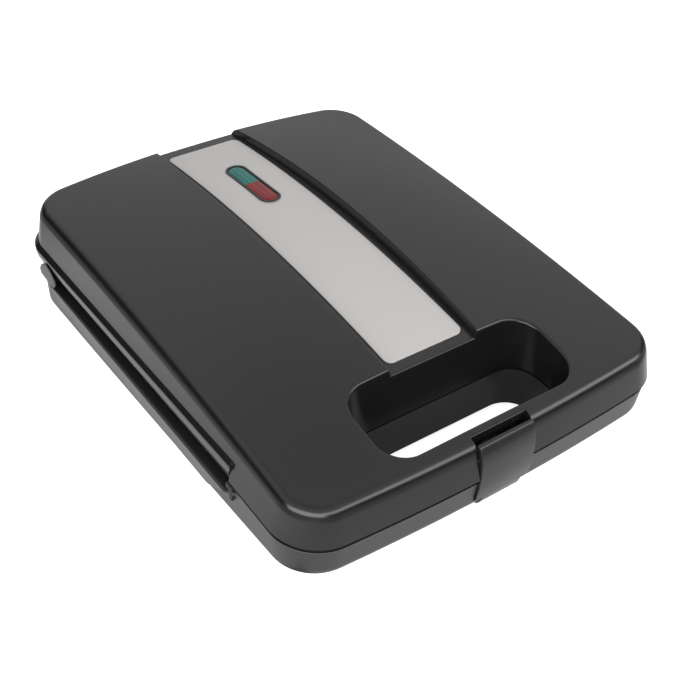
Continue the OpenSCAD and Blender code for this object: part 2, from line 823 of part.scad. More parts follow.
// Insulated leads as eight-sided tubes along a route whose corners are cut back by lead_bend.
lead_bend = 2.5;
lead_ref = [0.5, 0.6, -0.62];

function unit(v) = v / norm(v);

function eased(p) = concat([p[0]],
    [for (i = [1 : len(p) - 2]) for (q = [p[i - 1], p[i + 1]]) p[i] + lead_bend * unit(q - p[i])],
    [p[len(p) - 1]]);

function heading(p, i) = (i > 0 ? unit(p[i] - p[i - 1]) : [0, 0, 0])
    + (i < len(p) - 1 ? unit(p[i + 1] - p[i]) : [0, 0, 0]);

function tube_ring(p, t) = let (
    u = unit(cross(t, lead_ref)),
    v = cross(unit(t), u))
    [for (a = [0 : 45 : 315]) p + lead_r * (u * cos(a) + v * sin(a))];

module lead(points) {
    path = eased(points);
    capped([for (i = [0 : len(path) - 1]) tube_ring(path[i], heading(path, i))]);
}

module internal_leads() {
    z = block_z + block_bore_z;
    tab = thermostat_top - 17;
    fuse_end = fuse_l / 2 + fuse_wire + 0.3;
    color([0.75, 0.3, 0.2]) seam() {
        lead([[block_x - 10, block_y - 3, z], [block_x - 10, block_y - 12, z], [block_x - 10, fuse_y, fuse_z],
            [fuse_end, fuse_y, fuse_z]]);
        lead([[block_x, block_y - 3, z], [block_x, block_y - 13, z], [14, fuse_y - 38, tab - 7.1],
            [8.5, plate_mid + 1, tab - 6.1], [8.5, plate_mid + 1, tab - 0.4]]);
        lead([[-fuse_end, fuse_y, fuse_z], [-25, fuse_y, fuse_z], [-26, fuse_y + 8, fuse_z],
            [-19, fuse_y + 15, fuse_z],
            [-12, heater_rear - 1, fuse_z], [-12, heater_rear - 1, -heater_z - 1.8]]);
    }
}

// Lid.

function edge_ring(t) = on_crown(outline(skirt_draft + edge_w * (1 - cos(t))), edge_h * (1 - sin(t)));

module lid_body() {
    inner = outline(skirt_draft + edge_w);
    domed(concat([flat(outline(0), lid_gap)], [for (t = [0 : 18 : 90]) edge_ring(t)],
        [for (s = [0.9, 0.78, 0.64, 0.48, 0.32, 0.16]) on_crown(shrunk(inner, s), 0)]), [0, 0, crown(0, 0)]);
}

module lid_room() {
    inner = outline(skirt_draft + edge_w + 2);
    domed(concat([flat(outline(wall), -12)], [flat(outline(wall), lid_gap)],
        [on_crown(outline(skirt_draft + wall - 0.4), edge_h + 1.6)],
        [on_crown(outline(skirt_draft + wall + 1), edge_h - 1)],
        [for (s = [1, 0.85, 0.65, 0.42, 0.2]) on_crown(shrunk(inner, s), wall)]), [0, 0, crown(0, 0) - wall]);
}

function rail_ring(inset, top, dz) = [for (p = outline(inset))
    [p[0], p[1], (top ? rail_top_z(p[1]) : rail_bottom_z(p[1])) + dz]];

module rail() {
    o = -rail_out;
    intersection() {
        band([rail_ring(wall + 1, false, 0), rail_ring(o + 2.2, false, 0), rail_ring(o + 0.7, false, 0.5),
            rail_ring(o + 0.1, false, 1.6), rail_ring(o, false, 3), rail_ring(o, true, -1.2),
            rail_ring(o + 0.6, true, -0.2), rail_ring(wall + 1, true, 0)]);
        translate([-big / 2, slot_front, -40]) cube([big, big, 80]);
    }
}

// The trim surface lowered by d, as the solid below it.
module under_trim(d, x) {
    translate([0, trim_y, trim_h - trim_bend_r]) rotate([0, 90, 0])
        translate([0, 0, -x]) cylinder(h = 2 * x, r = trim_bend_r - d, $fn = 480);
}

floor_drop = trim_t + 0.1;
channel_base = trim_surface(body_d / 2) - 2;

// Space over the channel floor, its walls leaning out, grown by g sideways and down.
module channel(g) {
    difference() {
        translate([0, grip_rear - 30, 0]) rotate([-90, 0, 0]) linear_extrude(big) mirror([0, 1]) polygon([
            [-channel_half - g, 15], [channel_half + g, 15], [channel_half + g, channel_base],
            [channel_half + channel_lean * 2 + g, trim_surface(trim_y) + 13],
            [-channel_half - channel_lean * 2 - g, trim_surface(trim_y) + 13],
            [-channel_half - g, channel_base]]);
        under_trim(floor_drop + g, big / 2);
    }
}

// Handle opening above the seam, grown by g; its rim follows the crown.
module grip_top(g) {
    low = centred(grip_seam_half + g, grip_mid_front - g, grip_seam_rear + g, grip_corner + g);
    rim = function (o) centred(grip_half + g + o, grip_front - g - o, grip_rear + g + o, grip_corner + g + o);
    capped(concat([flat(low, -9), flat(low, 0), on_crown(rim(0), grip_rim)],
        g > 0 ? [] : [on_crown(rim(grip_rim * 0.3), grip_rim * 0.29), on_crown(rim(grip_rim), -0.05)],
        [flat(rim(g > 0 ? 0 : grip_rim), 60)]));
}

module latch_recess(g) {
    wide = latch_half + latch_gap + g;
    translate([-wide, front_y - front_clear, -12])
        cube([2 * wide, front_clear + recess_rear - front_y + g, 60]);
}

lid_post_z = plate_gap + plate_t + boss_h + seat_gap;
holder_reach = bezel_l / 2 + 5.5;
holder_post = [for (s = [-1, 1]) [lamp_x, lamp_y + s * holder_reach]];
holder_z = trim_surface(lamp_y) - 10.2;
holder_t = 1.2;
holder_half = 11;
holder_screw_r = 1.2;

module lid_posts_solid() {
    for (y = screw_y)
        for (x = [-screw_x, screw_x])
            translate([x, y, lid_post_z]) cylinder(h = crown(x, y) - 1.2 - lid_post_z, r = post_r - 0.8);
    for (p = shield_post)
        translate([p[0], p[1], shield_z + seat_gap])
            cylinder(h = crown(p[0], p[1]) - 1.2 - shield_z - seat_gap, r = shield_post_r);
    for (p = holder_post)
        translate([p[0], p[1], holder_z + holder_t + seat_gap])
            cylinder(h = trim_surface(p[1]) - floor_drop - 1 - holder_z - holder_t - seat_gap, r = 3);
}

lid_rib_t = 1.6;
lid_rib_l = 30;

// Ribs along both sides of the channel and across it, under its floor.
module lid_ribs() {
    for (x = [-channel_half - 3, channel_half + 3 - lid_rib_t])
        for (y = [trim_front + 29.5, trim_front + 79.5, trim_front + 129.5, trim_rear - lid_rib_l])
            translate([x, y, trim_surface(y) - 12]) cube([lid_rib_t, lid_rib_l, 9]);
    for (y = [trim_front + 39.5, trim_front + 99.5, lamp_y - holder_reach + 1])
        translate([-channel_half - 2, y, trim_surface(y) - 9]) cube([2 * channel_half + 4, lid_rib_t, 6.5]);
}

module lid_knuckles() {
    x0 = hinge_x - knuckle_l / 2;
    rod_x(hinge_y, hinge_z, x0, x0 + knuckle_l, knuckle_r);
    across(x0, x0 + knuckle_l)
        polygon([[hinge_y - 13, rail_bottom_z(rear_y) + 0.4], [hinge_y - 1, hinge_z - 1],
            [hinge_y + knuckle_r * 0.9, hinge_z + 2.2], [hinge_y - 3, 3.5], [hinge_y - 13, 3.5]]);
}

module at_lamp() {
    slope = atan((trim_surface(lamp_y + 20) - trim_surface(lamp_y - 20)) / 40);
    translate([lamp_x, lamp_y, trim_surface(lamp_y)]) rotate([slope, 0, 0]) children();
}

module oblong(length, width) {
    round_rect(-width / 2, width / 2, -length / 2, length / 2, width / 2 - 0.4);
}

module lid_housing() {
    color([0.11, 0.11, 0.115]) seam() difference() {
        union() {
            difference() {
                union() {
                    lid_body();
                    rail();
                }
                difference() {
                    lid_room();
                    channel(wall);
                    grip_top(wall - 0.2);
                    latch_recess(wall - 0.2);
                }
            }
            lid_posts_solid();
            lid_ribs();
            both_sides() lid_knuckles();
        }
        channel(0);
        grip_top(0);
        latch_recess(0);
        at_screws() translate([0, 0, lid_post_z - 1]) cylinder(h = 14, r = screw_d / 2 + 0.05);
        for (p = holder_post)
            translate([p[0], p[1], holder_z]) cylinder(h = 8, r = holder_screw_r + 0.05);
        at_lamp() translate([0, 0, -8]) linear_extrude(16) oblong(bezel_l - 2.4, bezel_w - 2.4);
        both_sides()
            rod_x(hinge_y, hinge_z, hinge_x - hinge_reach, hinge_x + hinge_reach, hinge_pin_d / 2 + pin_clear);
        rod_x(latch_y, latch_z, -latch_half - 6, latch_half + 6, latch_pin_d / 2);
    }
}

module trim_plate() {
    color([0.78, 0.77, 0.76]) seam() difference() {
        intersection() {
            linear_extrude(70) round_rect(-trim_half, trim_half, trim_front, trim_rear, trim_corner);
            under_trim(0, 60);
        }
        under_trim(trim_t, 70);
        at_lamp() translate([0, 0, -8]) linear_extrude(16) oblong(bezel_l - 2, bezel_w - 2);
    }
}

lamp_r = 2.5;
bezel_depth = 6.5;
bezel_step = 1.4;
lens_skirt = 2.5;
lens_gap = 0.15;
lens_lean = 1.4;

module lamp_bezel() {
    color([0.06, 0.06, 0.06]) seam() at_lamp() difference() {
        union() {
            translate([0, 0, 0.3]) linear_extrude(bezel_stand - 0.3) oblong(bezel_l, bezel_w);
            translate([0, 0, -bezel_depth]) linear_extrude(bezel_depth + 0.4)
                oblong(bezel_l - 2 * bezel_step, bezel_w - 2 * bezel_step);
        }
        translate([0, 0, 1 - bezel_depth]) linear_extrude(10)
            oblong(bezel_l - 2 * bezel_rim, bezel_w - 2 * bezel_rim);
        for (y = [-lamp_off, lamp_off])
            translate([0, y, -bezel_depth - 2.5]) cylinder(h = 6, r = lamp_r + 1.4);
    }
}

// One half of the long lens, its edge bevelled.
module lens(front) {
    l = bezel_l / 2 - bezel_rim - lens_gap;
    w = bezel_w / 2 - bezel_rim - lens_gap;
    r = w - 0.4;
    y0 = front ? -l : 0.1;
    y1 = front ? -0.1 : l;
    at_lamp() intersection() {
        capped([flat(rounded(-w, w, -l, l, r), -lens_skirt), flat(rounded(-w, w, -l, l, r), 0.1),
            flat(rounded(lens_lean - w, w - lens_lean, lens_lean - l, l - lens_lean, r - lens_lean), 0.95)]);
        translate([-20, y0, -10]) cube([40, y1 - y0, 20]);
    }
}

module green_lens() {
    color([0.1, 0.42, 0.38]) seam() lens(false);
}

module red_lens() {
    color([0.5, 0.1, 0.1]) seam() lens(true);
}

lamp_off = 13;
lamp_gap = 0.5;

// Two small lamps that stand on the holder and end just under the lenses.
module neon_lamps() {
    color([0.9, 0.8, 0.7]) seam() for (y = [lamp_y - lamp_off, lamp_y + lamp_off]) {
        middle = trim_surface(y) - lens_skirt - lamp_gap - lamp_r;
        translate([lamp_x, y, holder_z + holder_t]) cylinder(h = middle - holder_z - holder_t, r = lamp_r);
        translate([lamp_x, y, middle]) sphere(lamp_r);
    }
}

module lamp_holder() {
    color([0.55, 0.47, 0.3]) seam() difference() {
        translate([0, 0, holder_z]) linear_extrude(holder_t)
            round_rect(lamp_x - holder_half, lamp_x + holder_half, lamp_y - holder_reach - 5,
                lamp_y + holder_reach + 5, 2);
        for (p = holder_post)
            translate([p[0], p[1], holder_z - 1]) cylinder(h = holder_t + 2, r = holder_screw_r + 0.5);
    }
}

module lamp_holder_screws() {
    head = holder_screw_r + 1.4;
    color([0.66, 0.66, 0.67]) seam() for (p = holder_post)
        translate([p[0], p[1], holder_z - 1.7]) {
            cylinder(h = 1.6, r = head);
            cylinder(h = 8, r = holder_screw_r);
        }
}

// Latch: a curved face plate on a cross pin, its tongue reaching under the front of the base.
// The face is drawn from the front edge and the seam, the tongue from the front edge and its toe.
module latch_face() {
    translate([front_y, 0]) polygon([[5.8, 22.6], [4.2, 22.9], [2.6, 21.9], [0.4, 18.2], [-1.1, 12.5],
        latch_nose, [-1.6, -1], [-0.9, -8], [0.3, -14.2], [0.9, -16.4], [3.7, -16.4], [2.6, -9],
        [2, -2], [1.9, 4], [2.4, 10], [3.8, 15.6], [5.6, 19.6], [6.6, 21.2]]);
}

module latch_tongue() {
    translate([front_y, toe_z]) polygon([[-0.6, 17.2], [0.3, 12], [1.4, 7.6], [3.1, 3.6], [5.1, 1],
        [7.2, 0], [7.5, 2.6], [6.1, 4.2], [4.8, 6.8], [3.7, 10.6], [2.6, 17.2]]);
}

latch_boss_x = 11;
latch_boss_l = 8;
latch_boss_r = 3.5;
latch_rib_t = 1.6;

module latch() {
    color([0.1, 0.1, 0.105]) seam() difference() {
        union() {
            across(-latch_half, latch_half) latch_face();
            across(-tongue_half, tongue_half) latch_tongue();
            for (x = [-latch_boss_x, latch_boss_x])
                across(x - latch_boss_l / 2, x + latch_boss_l / 2) {
                    translate([latch_y, latch_z]) circle(latch_boss_r);
                    polygon([[front_y + 1.4, latch_z - latch_boss_r + 0.1], [latch_y, latch_z - latch_boss_r],
                        [latch_y, latch_z + latch_boss_r], [front_y + 1.4, latch_z + latch_boss_r - 0.1]]);
                }
            for (x = [-latch_half + 1.8, 0, latch_half - 1.8])
                across(x - latch_rib_t / 2, x + latch_rib_t / 2) translate([front_y, 0])
                    polygon([[1.6, -1.5], [3.4, -6], [3.8, 2], [4.4, 12], [1.8, 12]]);
        }
        rod_x(latch_y, latch_z, -latch_half - 1, latch_half + 1, latch_pin_d / 2 + pin_clear);
    }
}

module latch_pin() {
    reach = latch_half + latch_gap + 1.9;
    color([0.6, 0.61, 0.62]) seam() rod_x(latch_y, latch_z, -reach, reach, latch_pin_d / 2);
}

base_housing();
lower_plate();
lower_heater();
lower_heater_clips();
lower_heat_shield();
lower_plate_screws();
thermostat();
thermal_fuse();
terminal_block();
internal_leads();
cord_gland();
feet();
hinge_pins();
lid_housing();
trim_plate();
lamp_bezel();
green_lens();
red_lens();
neon_lamps();
lamp_holder();
lamp_holder_screws();
upper_plate();
upper_heater();
upper_heater_clips();
upper_heat_shield();
upper_plate_screws();
latch();
latch_pin();
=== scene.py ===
"""Sandwich toaster, closed and latched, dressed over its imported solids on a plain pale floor."""

import json
import logging
import math
from dataclasses import dataclass, field
from enum import Enum

import bpy
import numpy as np
from mathutils import Matrix, Vector

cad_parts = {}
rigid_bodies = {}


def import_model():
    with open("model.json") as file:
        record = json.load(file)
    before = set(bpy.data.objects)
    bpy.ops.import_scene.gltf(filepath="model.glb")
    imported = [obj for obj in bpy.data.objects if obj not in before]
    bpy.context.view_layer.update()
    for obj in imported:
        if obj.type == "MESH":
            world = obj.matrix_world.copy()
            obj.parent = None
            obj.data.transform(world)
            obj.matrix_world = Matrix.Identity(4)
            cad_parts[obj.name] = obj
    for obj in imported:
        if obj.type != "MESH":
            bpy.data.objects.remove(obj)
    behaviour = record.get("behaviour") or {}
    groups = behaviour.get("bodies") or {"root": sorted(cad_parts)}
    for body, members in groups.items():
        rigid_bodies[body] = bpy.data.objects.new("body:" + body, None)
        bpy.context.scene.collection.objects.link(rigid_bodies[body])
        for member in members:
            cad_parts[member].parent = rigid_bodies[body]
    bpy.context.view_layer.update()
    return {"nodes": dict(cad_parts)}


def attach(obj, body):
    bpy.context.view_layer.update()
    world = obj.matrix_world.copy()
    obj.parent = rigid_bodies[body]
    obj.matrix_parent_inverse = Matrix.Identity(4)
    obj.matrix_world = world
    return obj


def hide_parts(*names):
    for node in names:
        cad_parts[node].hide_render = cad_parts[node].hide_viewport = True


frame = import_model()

log = logging.getLogger("toaster")

MM = 0.001
PHOTO_SIZE = 680


class Body(Enum):
    """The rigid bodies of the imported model."""

    BASE = "base"
    LID = "lid"
    LATCH = "latch"


# Sizes, as in the part's source


@dataclass(frozen=True)
class Sizes:
    """Sizes of the body in millimetres, measured in the seam frame.

    The seam frame has its z over the plane between lid and base, which slopes down to the handle.
    """

    body_w: float = 268.2
    body_d: float = 340.0
    corner_r: float = 28.0
    end_bow: float = 6.0
    tilt: float = math.radians(4.2)
    base_depth: float = 38.2
    foot_h: float = 3.0
    lid_gap: float = 0.8
    wall: float = 2.6
    skirt_draft: float = 4.5
    edge_w: float = 6.0
    edge_h: float = 6.3
    crown_h: float = 46.4
    crown_y: float = 28.0
    crown_long_r: float = 818.0
    crown_cross: tuple[float, float, float] = (8.9, 1.0, -2.6)
    channel_half: float = 30.4
    channel_lean: float = 0.2812
    trim_h: float = 39.7
    trim_y: float = 27.0
    trim_bend_r: float = 1041.0
    trim_half: float = 28.0
    trim_front: float = -99.5
    trim_rear: float = 160.0
    trim_corner: float = 5.0
    trim_t: float = 0.8
    lamp_x: float = 1.6
    lamp_y: float = 93.0
    bezel_l: float = 57.0
    bezel_w: float = 15.4
    bezel_rim: float = 1.7
    bezel_stand: float = 0.7
    grip_half: float = 67.3
    grip_rear: float = -106.2
    grip_front: float = -158.4
    grip_corner: float = 17.0
    grip_seam_half: float = 64.7
    grip_seam_rear: float = -112.0
    grip_rim: float = 2.0
    rail_out: float = 1.4
    rail_top: tuple[float, float] = (8.9, -0.0414)
    rail_bottom: tuple[float, float] = (-2.6, -0.02)
    slot_front: float = -102.5
    slot_rear: float = 127.0
    slot_sill: tuple[float, float] = (-9.4, -0.042)
    sill_out: float = 3.0
    sill_low: float = 20.0
    sill_lean: float = 4.4
    sill_sweep: float = 26.0
    base_inset: float = 1.2
    base_wall_inset: float = 2.4
    base_round: float = 9.0
    base_side_bow: float = 0.8
    floor_t: float = 2.6
    hinge_x: float = 84.0
    hinge_y: float = 185.0
    hinge_z: float = -7.0
    hinge_pin_d: float = 4.0
    knuckle_r: float = 5.6
    knuckle_l: float = 26.0
    knuckle_gap: float = 0.5
    ear_l: float = 9.0
    latch_half: float = 19.4
    tongue_half: float = 14.4
    latch_y: float = -169.3
    latch_z: float = 8.0
    latch_pin_d: float = 3.0
    latch_gap: float = 0.6
    recess_rear: float = -163.6
    notch_rear: float = -168.0
    notch_wide_rear: float = -171.6
    notch_step: float = -17.5
    plate_half: float = 125.0
    plate_front: float = -104.0
    plate_rear: float = 148.0
    plate_corner: float = 12.0
    plate_t: float = 3.0
    plate_gap: float = 0.4
    cell: float = 115.0
    pocket_h: float = 9.0
    ridge: float = 3.5
    bulge_t: float = 2.5
    gland_x: float = 38.0
    gland_z: float = -27.0
    gland_r: float = 6.4
    foot_x: float = 98.0
    foot_y: tuple[float, float] = (-136.0, 138.0)

    @property
    def seam_z(self) -> float:
        """Height of the seam frame's origin over the table."""
        return self.foot_h + self.base_depth * math.cos(self.tilt)

    @property
    def mid_y(self) -> float:
        """Middle of the overall length, which the origin lies under."""
        c, s = math.cos(self.tilt), math.sin(self.tilt)
        return (c * (self.hinge_y - 177.7) - s * (self.hinge_z + 6.0) + self.knuckle_r) / 2

    @property
    def screws(self) -> list[tuple[float, float]]:
        """Plan positions of the four plate screws."""
        x = self.plate_half - 6
        return [(sx * x, y) for sx in (-1, 1) for y in (self.plate_front + 6, self.plate_rear - 6)]

    def to_model(self) -> Matrix:
        """Matrix from seam-frame millimetres to model metres."""
        turn = Matrix.Rotation(self.tilt, 4, "X")
        return Matrix.Scale(MM, 4) @ Matrix.Translation((0, -self.mid_y, self.seam_z)) @ turn


S = Sizes()


# Heights and outlines


def crown(x: np.ndarray, y: np.ndarray) -> np.ndarray:
    """Height of the domed top.

    A parabola along the lid less a parabola across it, whose fall changes along the lid.

    Args:
        x: distance off the centre line.
        y: distance along the lid.
    Returns:
        z over the seam.
    """
    a, b, c = S.crown_cross
    t = y / 100
    return S.crown_h - (y - S.crown_y) ** 2 / (2 * S.crown_long_r) - (a + b * t + c * t * t) * 1e-4 * x * x


def crown_normal(x: np.ndarray, y: np.ndarray) -> np.ndarray:
    """Unit normals of the domed top, from the slopes of crown()."""
    e = 0.05
    dx = (crown(x + e, y) - crown(x - e, y)) / (2 * e)
    dy = (crown(x, y + e) - crown(x, y - e)) / (2 * e)
    n = np.stack([-dx, -dy, np.ones_like(dx)], axis=-1)
    return n / np.linalg.norm(n, axis=-1, keepdims=True)


def trim_surface(y: np.ndarray) -> np.ndarray:
    """Height of the trim plate: an arc of trim_bend_r along the lid."""
    return S.trim_h - S.trim_bend_r + np.sqrt(S.trim_bend_r**2 - (y - S.trim_y) ** 2)


def base_floor(y: np.ndarray) -> np.ndarray:
    """Height of the underside, which runs level with the table."""
    return -(S.seam_z + y * math.sin(S.tilt)) / math.cos(S.tilt) + S.foot_h / math.cos(S.tilt)


def line(law: tuple[float, float], y: np.ndarray) -> np.ndarray:
    """A height that changes evenly along the body: value at mid length plus slope times y."""
    return law[0] + law[1] * y


def outline(inset: float, side_bow: float = 0.0, detail: int = 1) -> np.ndarray:
    """Plan outline of the body, anticlockwise from the front left corner.

    A rectangle with round corners whose ends, and sides if asked, bow outwards by a parabola.

    Args:
        inset: how far inside the seam outline.
        side_bow: bow of the two long sides.
        detail: multiplies the number of points.
    Returns:
        An (n, 2) array.
    """
    w, d = S.body_w / 2 - inset, S.body_d / 2 - inset
    r = max(S.corner_r - inset, 3.0)
    ends, arcs, sides = 30 * detail, 14 * detail, 36 * detail
    u, v, q = np.arange(ends) / ends, np.arange(sides) / sides, np.arange(arcs) / arcs * math.pi / 2
    s, c = np.sin(q), np.cos(q)
    ring = np.concatenate([
        np.stack([-w + r + 2 * (w - r) * u, np.full(ends, -d)], 1),
        np.stack([w - r + r * s, -d + r - r * c], 1),
        np.stack([np.full(sides, w), -d + r + 2 * (d - r) * v], 1),
        np.stack([w - r + r * c, d - r + r * s], 1),
        np.stack([w - r - 2 * (w - r) * u, np.full(ends, d)], 1),
        np.stack([-w + r - r * s, d - r + r * c], 1),
        np.stack([np.full(sides, -w), d - r - 2 * (d - r) * v], 1),
        np.stack([-w + r - r * c, -d + r - r * s], 1),
    ])
    x, y = ring[:, 0], ring[:, 1]
    return np.stack([
        x * (1 + 2 * side_bow / S.body_w * (1 - (2 * y / S.body_d) ** 2)),
        y * (1 + 2 * S.end_bow / S.body_d * (1 - (2 * x / S.body_w) ** 2)),
    ], 1)


def round_rect(x0: float, x1: float, y0: float, y1: float, r: float, arc: int = 12, step: float = 3.0) -> np.ndarray:
    """Rectangle with round corners, anticlockwise, its straight sides cut into steps."""
    nx = max(int((x1 - x0 - 2 * r) / step), 1)
    ny = max(int((y1 - y0 - 2 * r) / step), 1)
    q = np.arange(arc) / arc * math.pi / 2
    s, c = np.sin(q), np.cos(q)
    u, v = np.arange(nx) / nx, np.arange(ny) / ny
    return np.concatenate([
        np.stack([x0 + r + (x1 - x0 - 2 * r) * u, np.full(nx, y0)], 1),
        np.stack([x1 - r + r * s, y0 + r - r * c], 1),
        np.stack([np.full(ny, x1), y0 + r + (y1 - y0 - 2 * r) * v], 1),
        np.stack([x1 - r + r * c, y1 - r + r * s], 1),
        np.stack([x1 - r - (x1 - x0 - 2 * r) * u, np.full(nx, y1)], 1),
        np.stack([x0 + r - r * s, y1 - r + r * c], 1),
        np.stack([np.full(ny, x0), y1 - r - (y1 - y0 - 2 * r) * v], 1),
        np.stack([x0 + r - r * c, y0 + r - r * s], 1),
    ])


def at(points: np.ndarray, z: float | np.ndarray) -> np.ndarray:
    """Plan points raised to a height or heights."""
    return np.column_stack([points, np.broadcast_to(z, len(points))])


def on_crown(points: np.ndarray, drop: float) -> np.ndarray:
    """Plan points set a given drop under the domed top."""
    return at(points, crown(points[:, 0], points[:, 1]) - drop)


def quarter(n: int) -> np.ndarray:
    """Angles from 0 to a right angle."""
    return np.linspace(0, math.pi / 2, n)


# Forms and solids


@dataclass
class Form:
    """A surface as points and faces, in seam-frame millimetres."""

    verts: np.ndarray
    faces: list[tuple[int, ...]]

    @classmethod
    def loft(cls, rings: list[np.ndarray], tip: np.ndarray | None = None, wrap: bool = False) -> "Form":
        """Skins rings of equal length.

        Args:
            rings: the rings, in order.
            tip: a point that closes the last ring, instead of a flat cap.
            wrap: joins the last ring to the first, with no caps.
        Returns:
            A closed form with its normals outwards.
        """
        n, m = len(rings[0]), len(rings)
        verts = np.concatenate(rings)
        i = np.arange(n)
        k = np.arange(m if wrap else m - 1)[:, None]
        a, b = k * n + i, k * n + (i + 1) % n
        up = ((k + 1) % m) * n
        quads = np.stack([a, b, up + (i + 1) % n, up + i], -1).reshape(-1, 4)
        faces = [tuple(q) for q in quads.tolist()]
        if not wrap:
            faces.append(tuple(range(n - 1, -1, -1)))
            last = (m - 1) * n
            if tip is None:
                faces.append(tuple(range(last, last + n)))
            else:
                verts = np.vstack([verts, tip])
                faces += [(last + j, last + (j + 1) % n, m * n) for j in range(n)]
        return cls(verts, faces).outward()

    @classmethod
    def across(cls, profile: list | np.ndarray, x0: float, x1: float) -> "Form":
        """Runs a [y, z] profile across the body from x0 to x1."""
        p = np.asarray(profile, float)
        rings = [np.column_stack([np.full(len(p), x), p]) for x in (x0, x1)]
        return cls.loft(rings)

    @classmethod
    def rod(cls, start: tuple, end: tuple, r: float, n: int = 48) -> "Form":
        """A cylinder between two points."""
        a, b = Vector(start), Vector(end)
        axis = (b - a).normalized()
        u = axis.orthogonal().normalized()
        v = axis.cross(u)
        q = np.arange(n) / n * 2 * math.pi
        ring = np.outer(np.cos(q), u) * r + np.outer(np.sin(q), v) * r
        return cls.loft([ring + np.array(a), ring + np.array(b)])

    def outward(self) -> "Form":
        """Turns the faces round if the enclosed volume is negative."""
        total = 0.0
        for f in self.faces:
            p = self.verts[list(f)]
            total += np.einsum("ij,ij->", np.cross(p[1:-1], p[2:]), np.broadcast_to(p[0], (len(f) - 2, 3)))
        if total < 0:
            self.faces = [f[::-1] for f in self.faces]
        return self

    def moved(self, x: float = 0, y: float = 0, z: float = 0) -> "Form":
        """A copy shifted in the seam frame."""
        return Form(self.verts + np.array([x, y, z]), self.faces)

    def mirrored(self) -> "Form":
        """A copy mirrored across the centre line."""
        return Form(self.verts * np.array([-1, 1, 1]), [f[::-1] for f in self.faces])

    def mesh(self, name: str) -> bpy.types.Mesh:
        """The form as mesh data, still in seam-frame millimetres."""
        mesh = bpy.data.meshes.new(name)
        mesh.from_pydata(self.verts.tolist(), [], self.faces)
        mesh.validate()
        return mesh


def joined(*forms: Form) -> Form:
    """Several separate forms as one."""
    verts, faces, base = [], [], 0
    for f in forms:
        verts.append(f.verts)
        faces += [tuple(i + base for i in face) for face in f.faces]
        base += len(f.verts)
    return Form(np.concatenate(verts), faces)


def both(form: Form) -> Form:
    """A form and its mirror image."""
    return joined(form, form.mirrored())


class Solid:
    """A closed form that can be joined with +, cut with - and intersected with &."""

    def __init__(self, source: "Form | bpy.types.Mesh") -> None:
        mesh = source.mesh("solid") if isinstance(source, Form) else source
        self.obj = bpy.data.objects.new("solid", mesh)
        bpy.context.scene.collection.objects.link(self.obj)

    def _combined(self, other: "Solid | Form", operation: str) -> "Solid":
        tool = other if isinstance(other, Solid) else Solid(other)
        mod = self.obj.modifiers.new("combine", "BOOLEAN")
        mod.solver = "MANIFOLD"
        mod.operation = operation
        mod.object = tool.obj
        graph = bpy.context.evaluated_depsgraph_get()
        mesh = bpy.data.meshes.new_from_object(self.obj.evaluated_get(graph), depsgraph=graph)
        self.obj.modifiers.clear()
        if not isinstance(other, Solid):
            tool.drop()
        return Solid(mesh)

    def __add__(self, other: "Solid | Form") -> "Solid":
        return self._combined(other, "UNION")

    def __sub__(self, other: "Solid | Form") -> "Solid":
        return self._combined(other, "DIFFERENCE")

    def __and__(self, other: "Solid | Form") -> "Solid":
        return self._combined(other, "INTERSECT")

    def drop(self) -> None:
        """Removes the working object."""
        mesh = self.obj.data
        bpy.data.objects.remove(self.obj)
        if mesh.users == 0:
            bpy.data.meshes.remove(mesh)

    def taken(self) -> bpy.types.Mesh:
        """The mesh, with the working objects cleared away."""
        mesh = self.obj.data
        mesh.use_fake_user = True
        for o in [o for o in bpy.data.objects if o.name.startswith("solid")]:
            data = o.data
            bpy.data.objects.remove(o)
            if data.users == 0:
                bpy.data.meshes.remove(data)
        mesh.use_fake_user = False
        return mesh


def read(mesh: bpy.types.Mesh) -> np.ndarray:
    """Vertex places of a mesh."""
    co = np.empty(len(mesh.vertices) * 3, np.float32)
    mesh.vertices.foreach_get("co", co)
    return co.reshape(-1, 3).astype(float)


def place(
    name: str,
    mesh: bpy.types.Mesh,
    body: Body,
    material: bpy.types.Material,
    slot: str,
    replaces: tuple[str, ...] = (),
    sharp: float = 32.0,
    dome: bool = False,
) -> bpy.types.Object:
    """Turns a mesh in seam-frame millimetres into a finished piece.

    Args:
        name: the piece's name.
        mesh: its mesh.
        body: the body it rides on.
        material: its finish.
        slot: the record's material slot; not used.
        replaces: CAD nodes it stands for.
        sharp: edges over this angle, in degrees, stay sharp.
        dome: takes the normals of the domed top from its formula.
    Returns:
        The piece, at the origin, unturned and unscaled.
    """
    mesh.name = name
    mesh.shade_smooth()
    mesh.set_sharp_from_angle(angle=math.radians(sharp))
    if dome:
        polish_dome(mesh)
    mesh.transform(S.to_model())
    mesh.materials.clear()
    mesh.materials.append(material)
    obj = bpy.data.objects.new(name, mesh)
    bpy.context.scene.collection.objects.link(obj)
    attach(obj, body.value)
    if replaces:
        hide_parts(*replaces)
    return obj


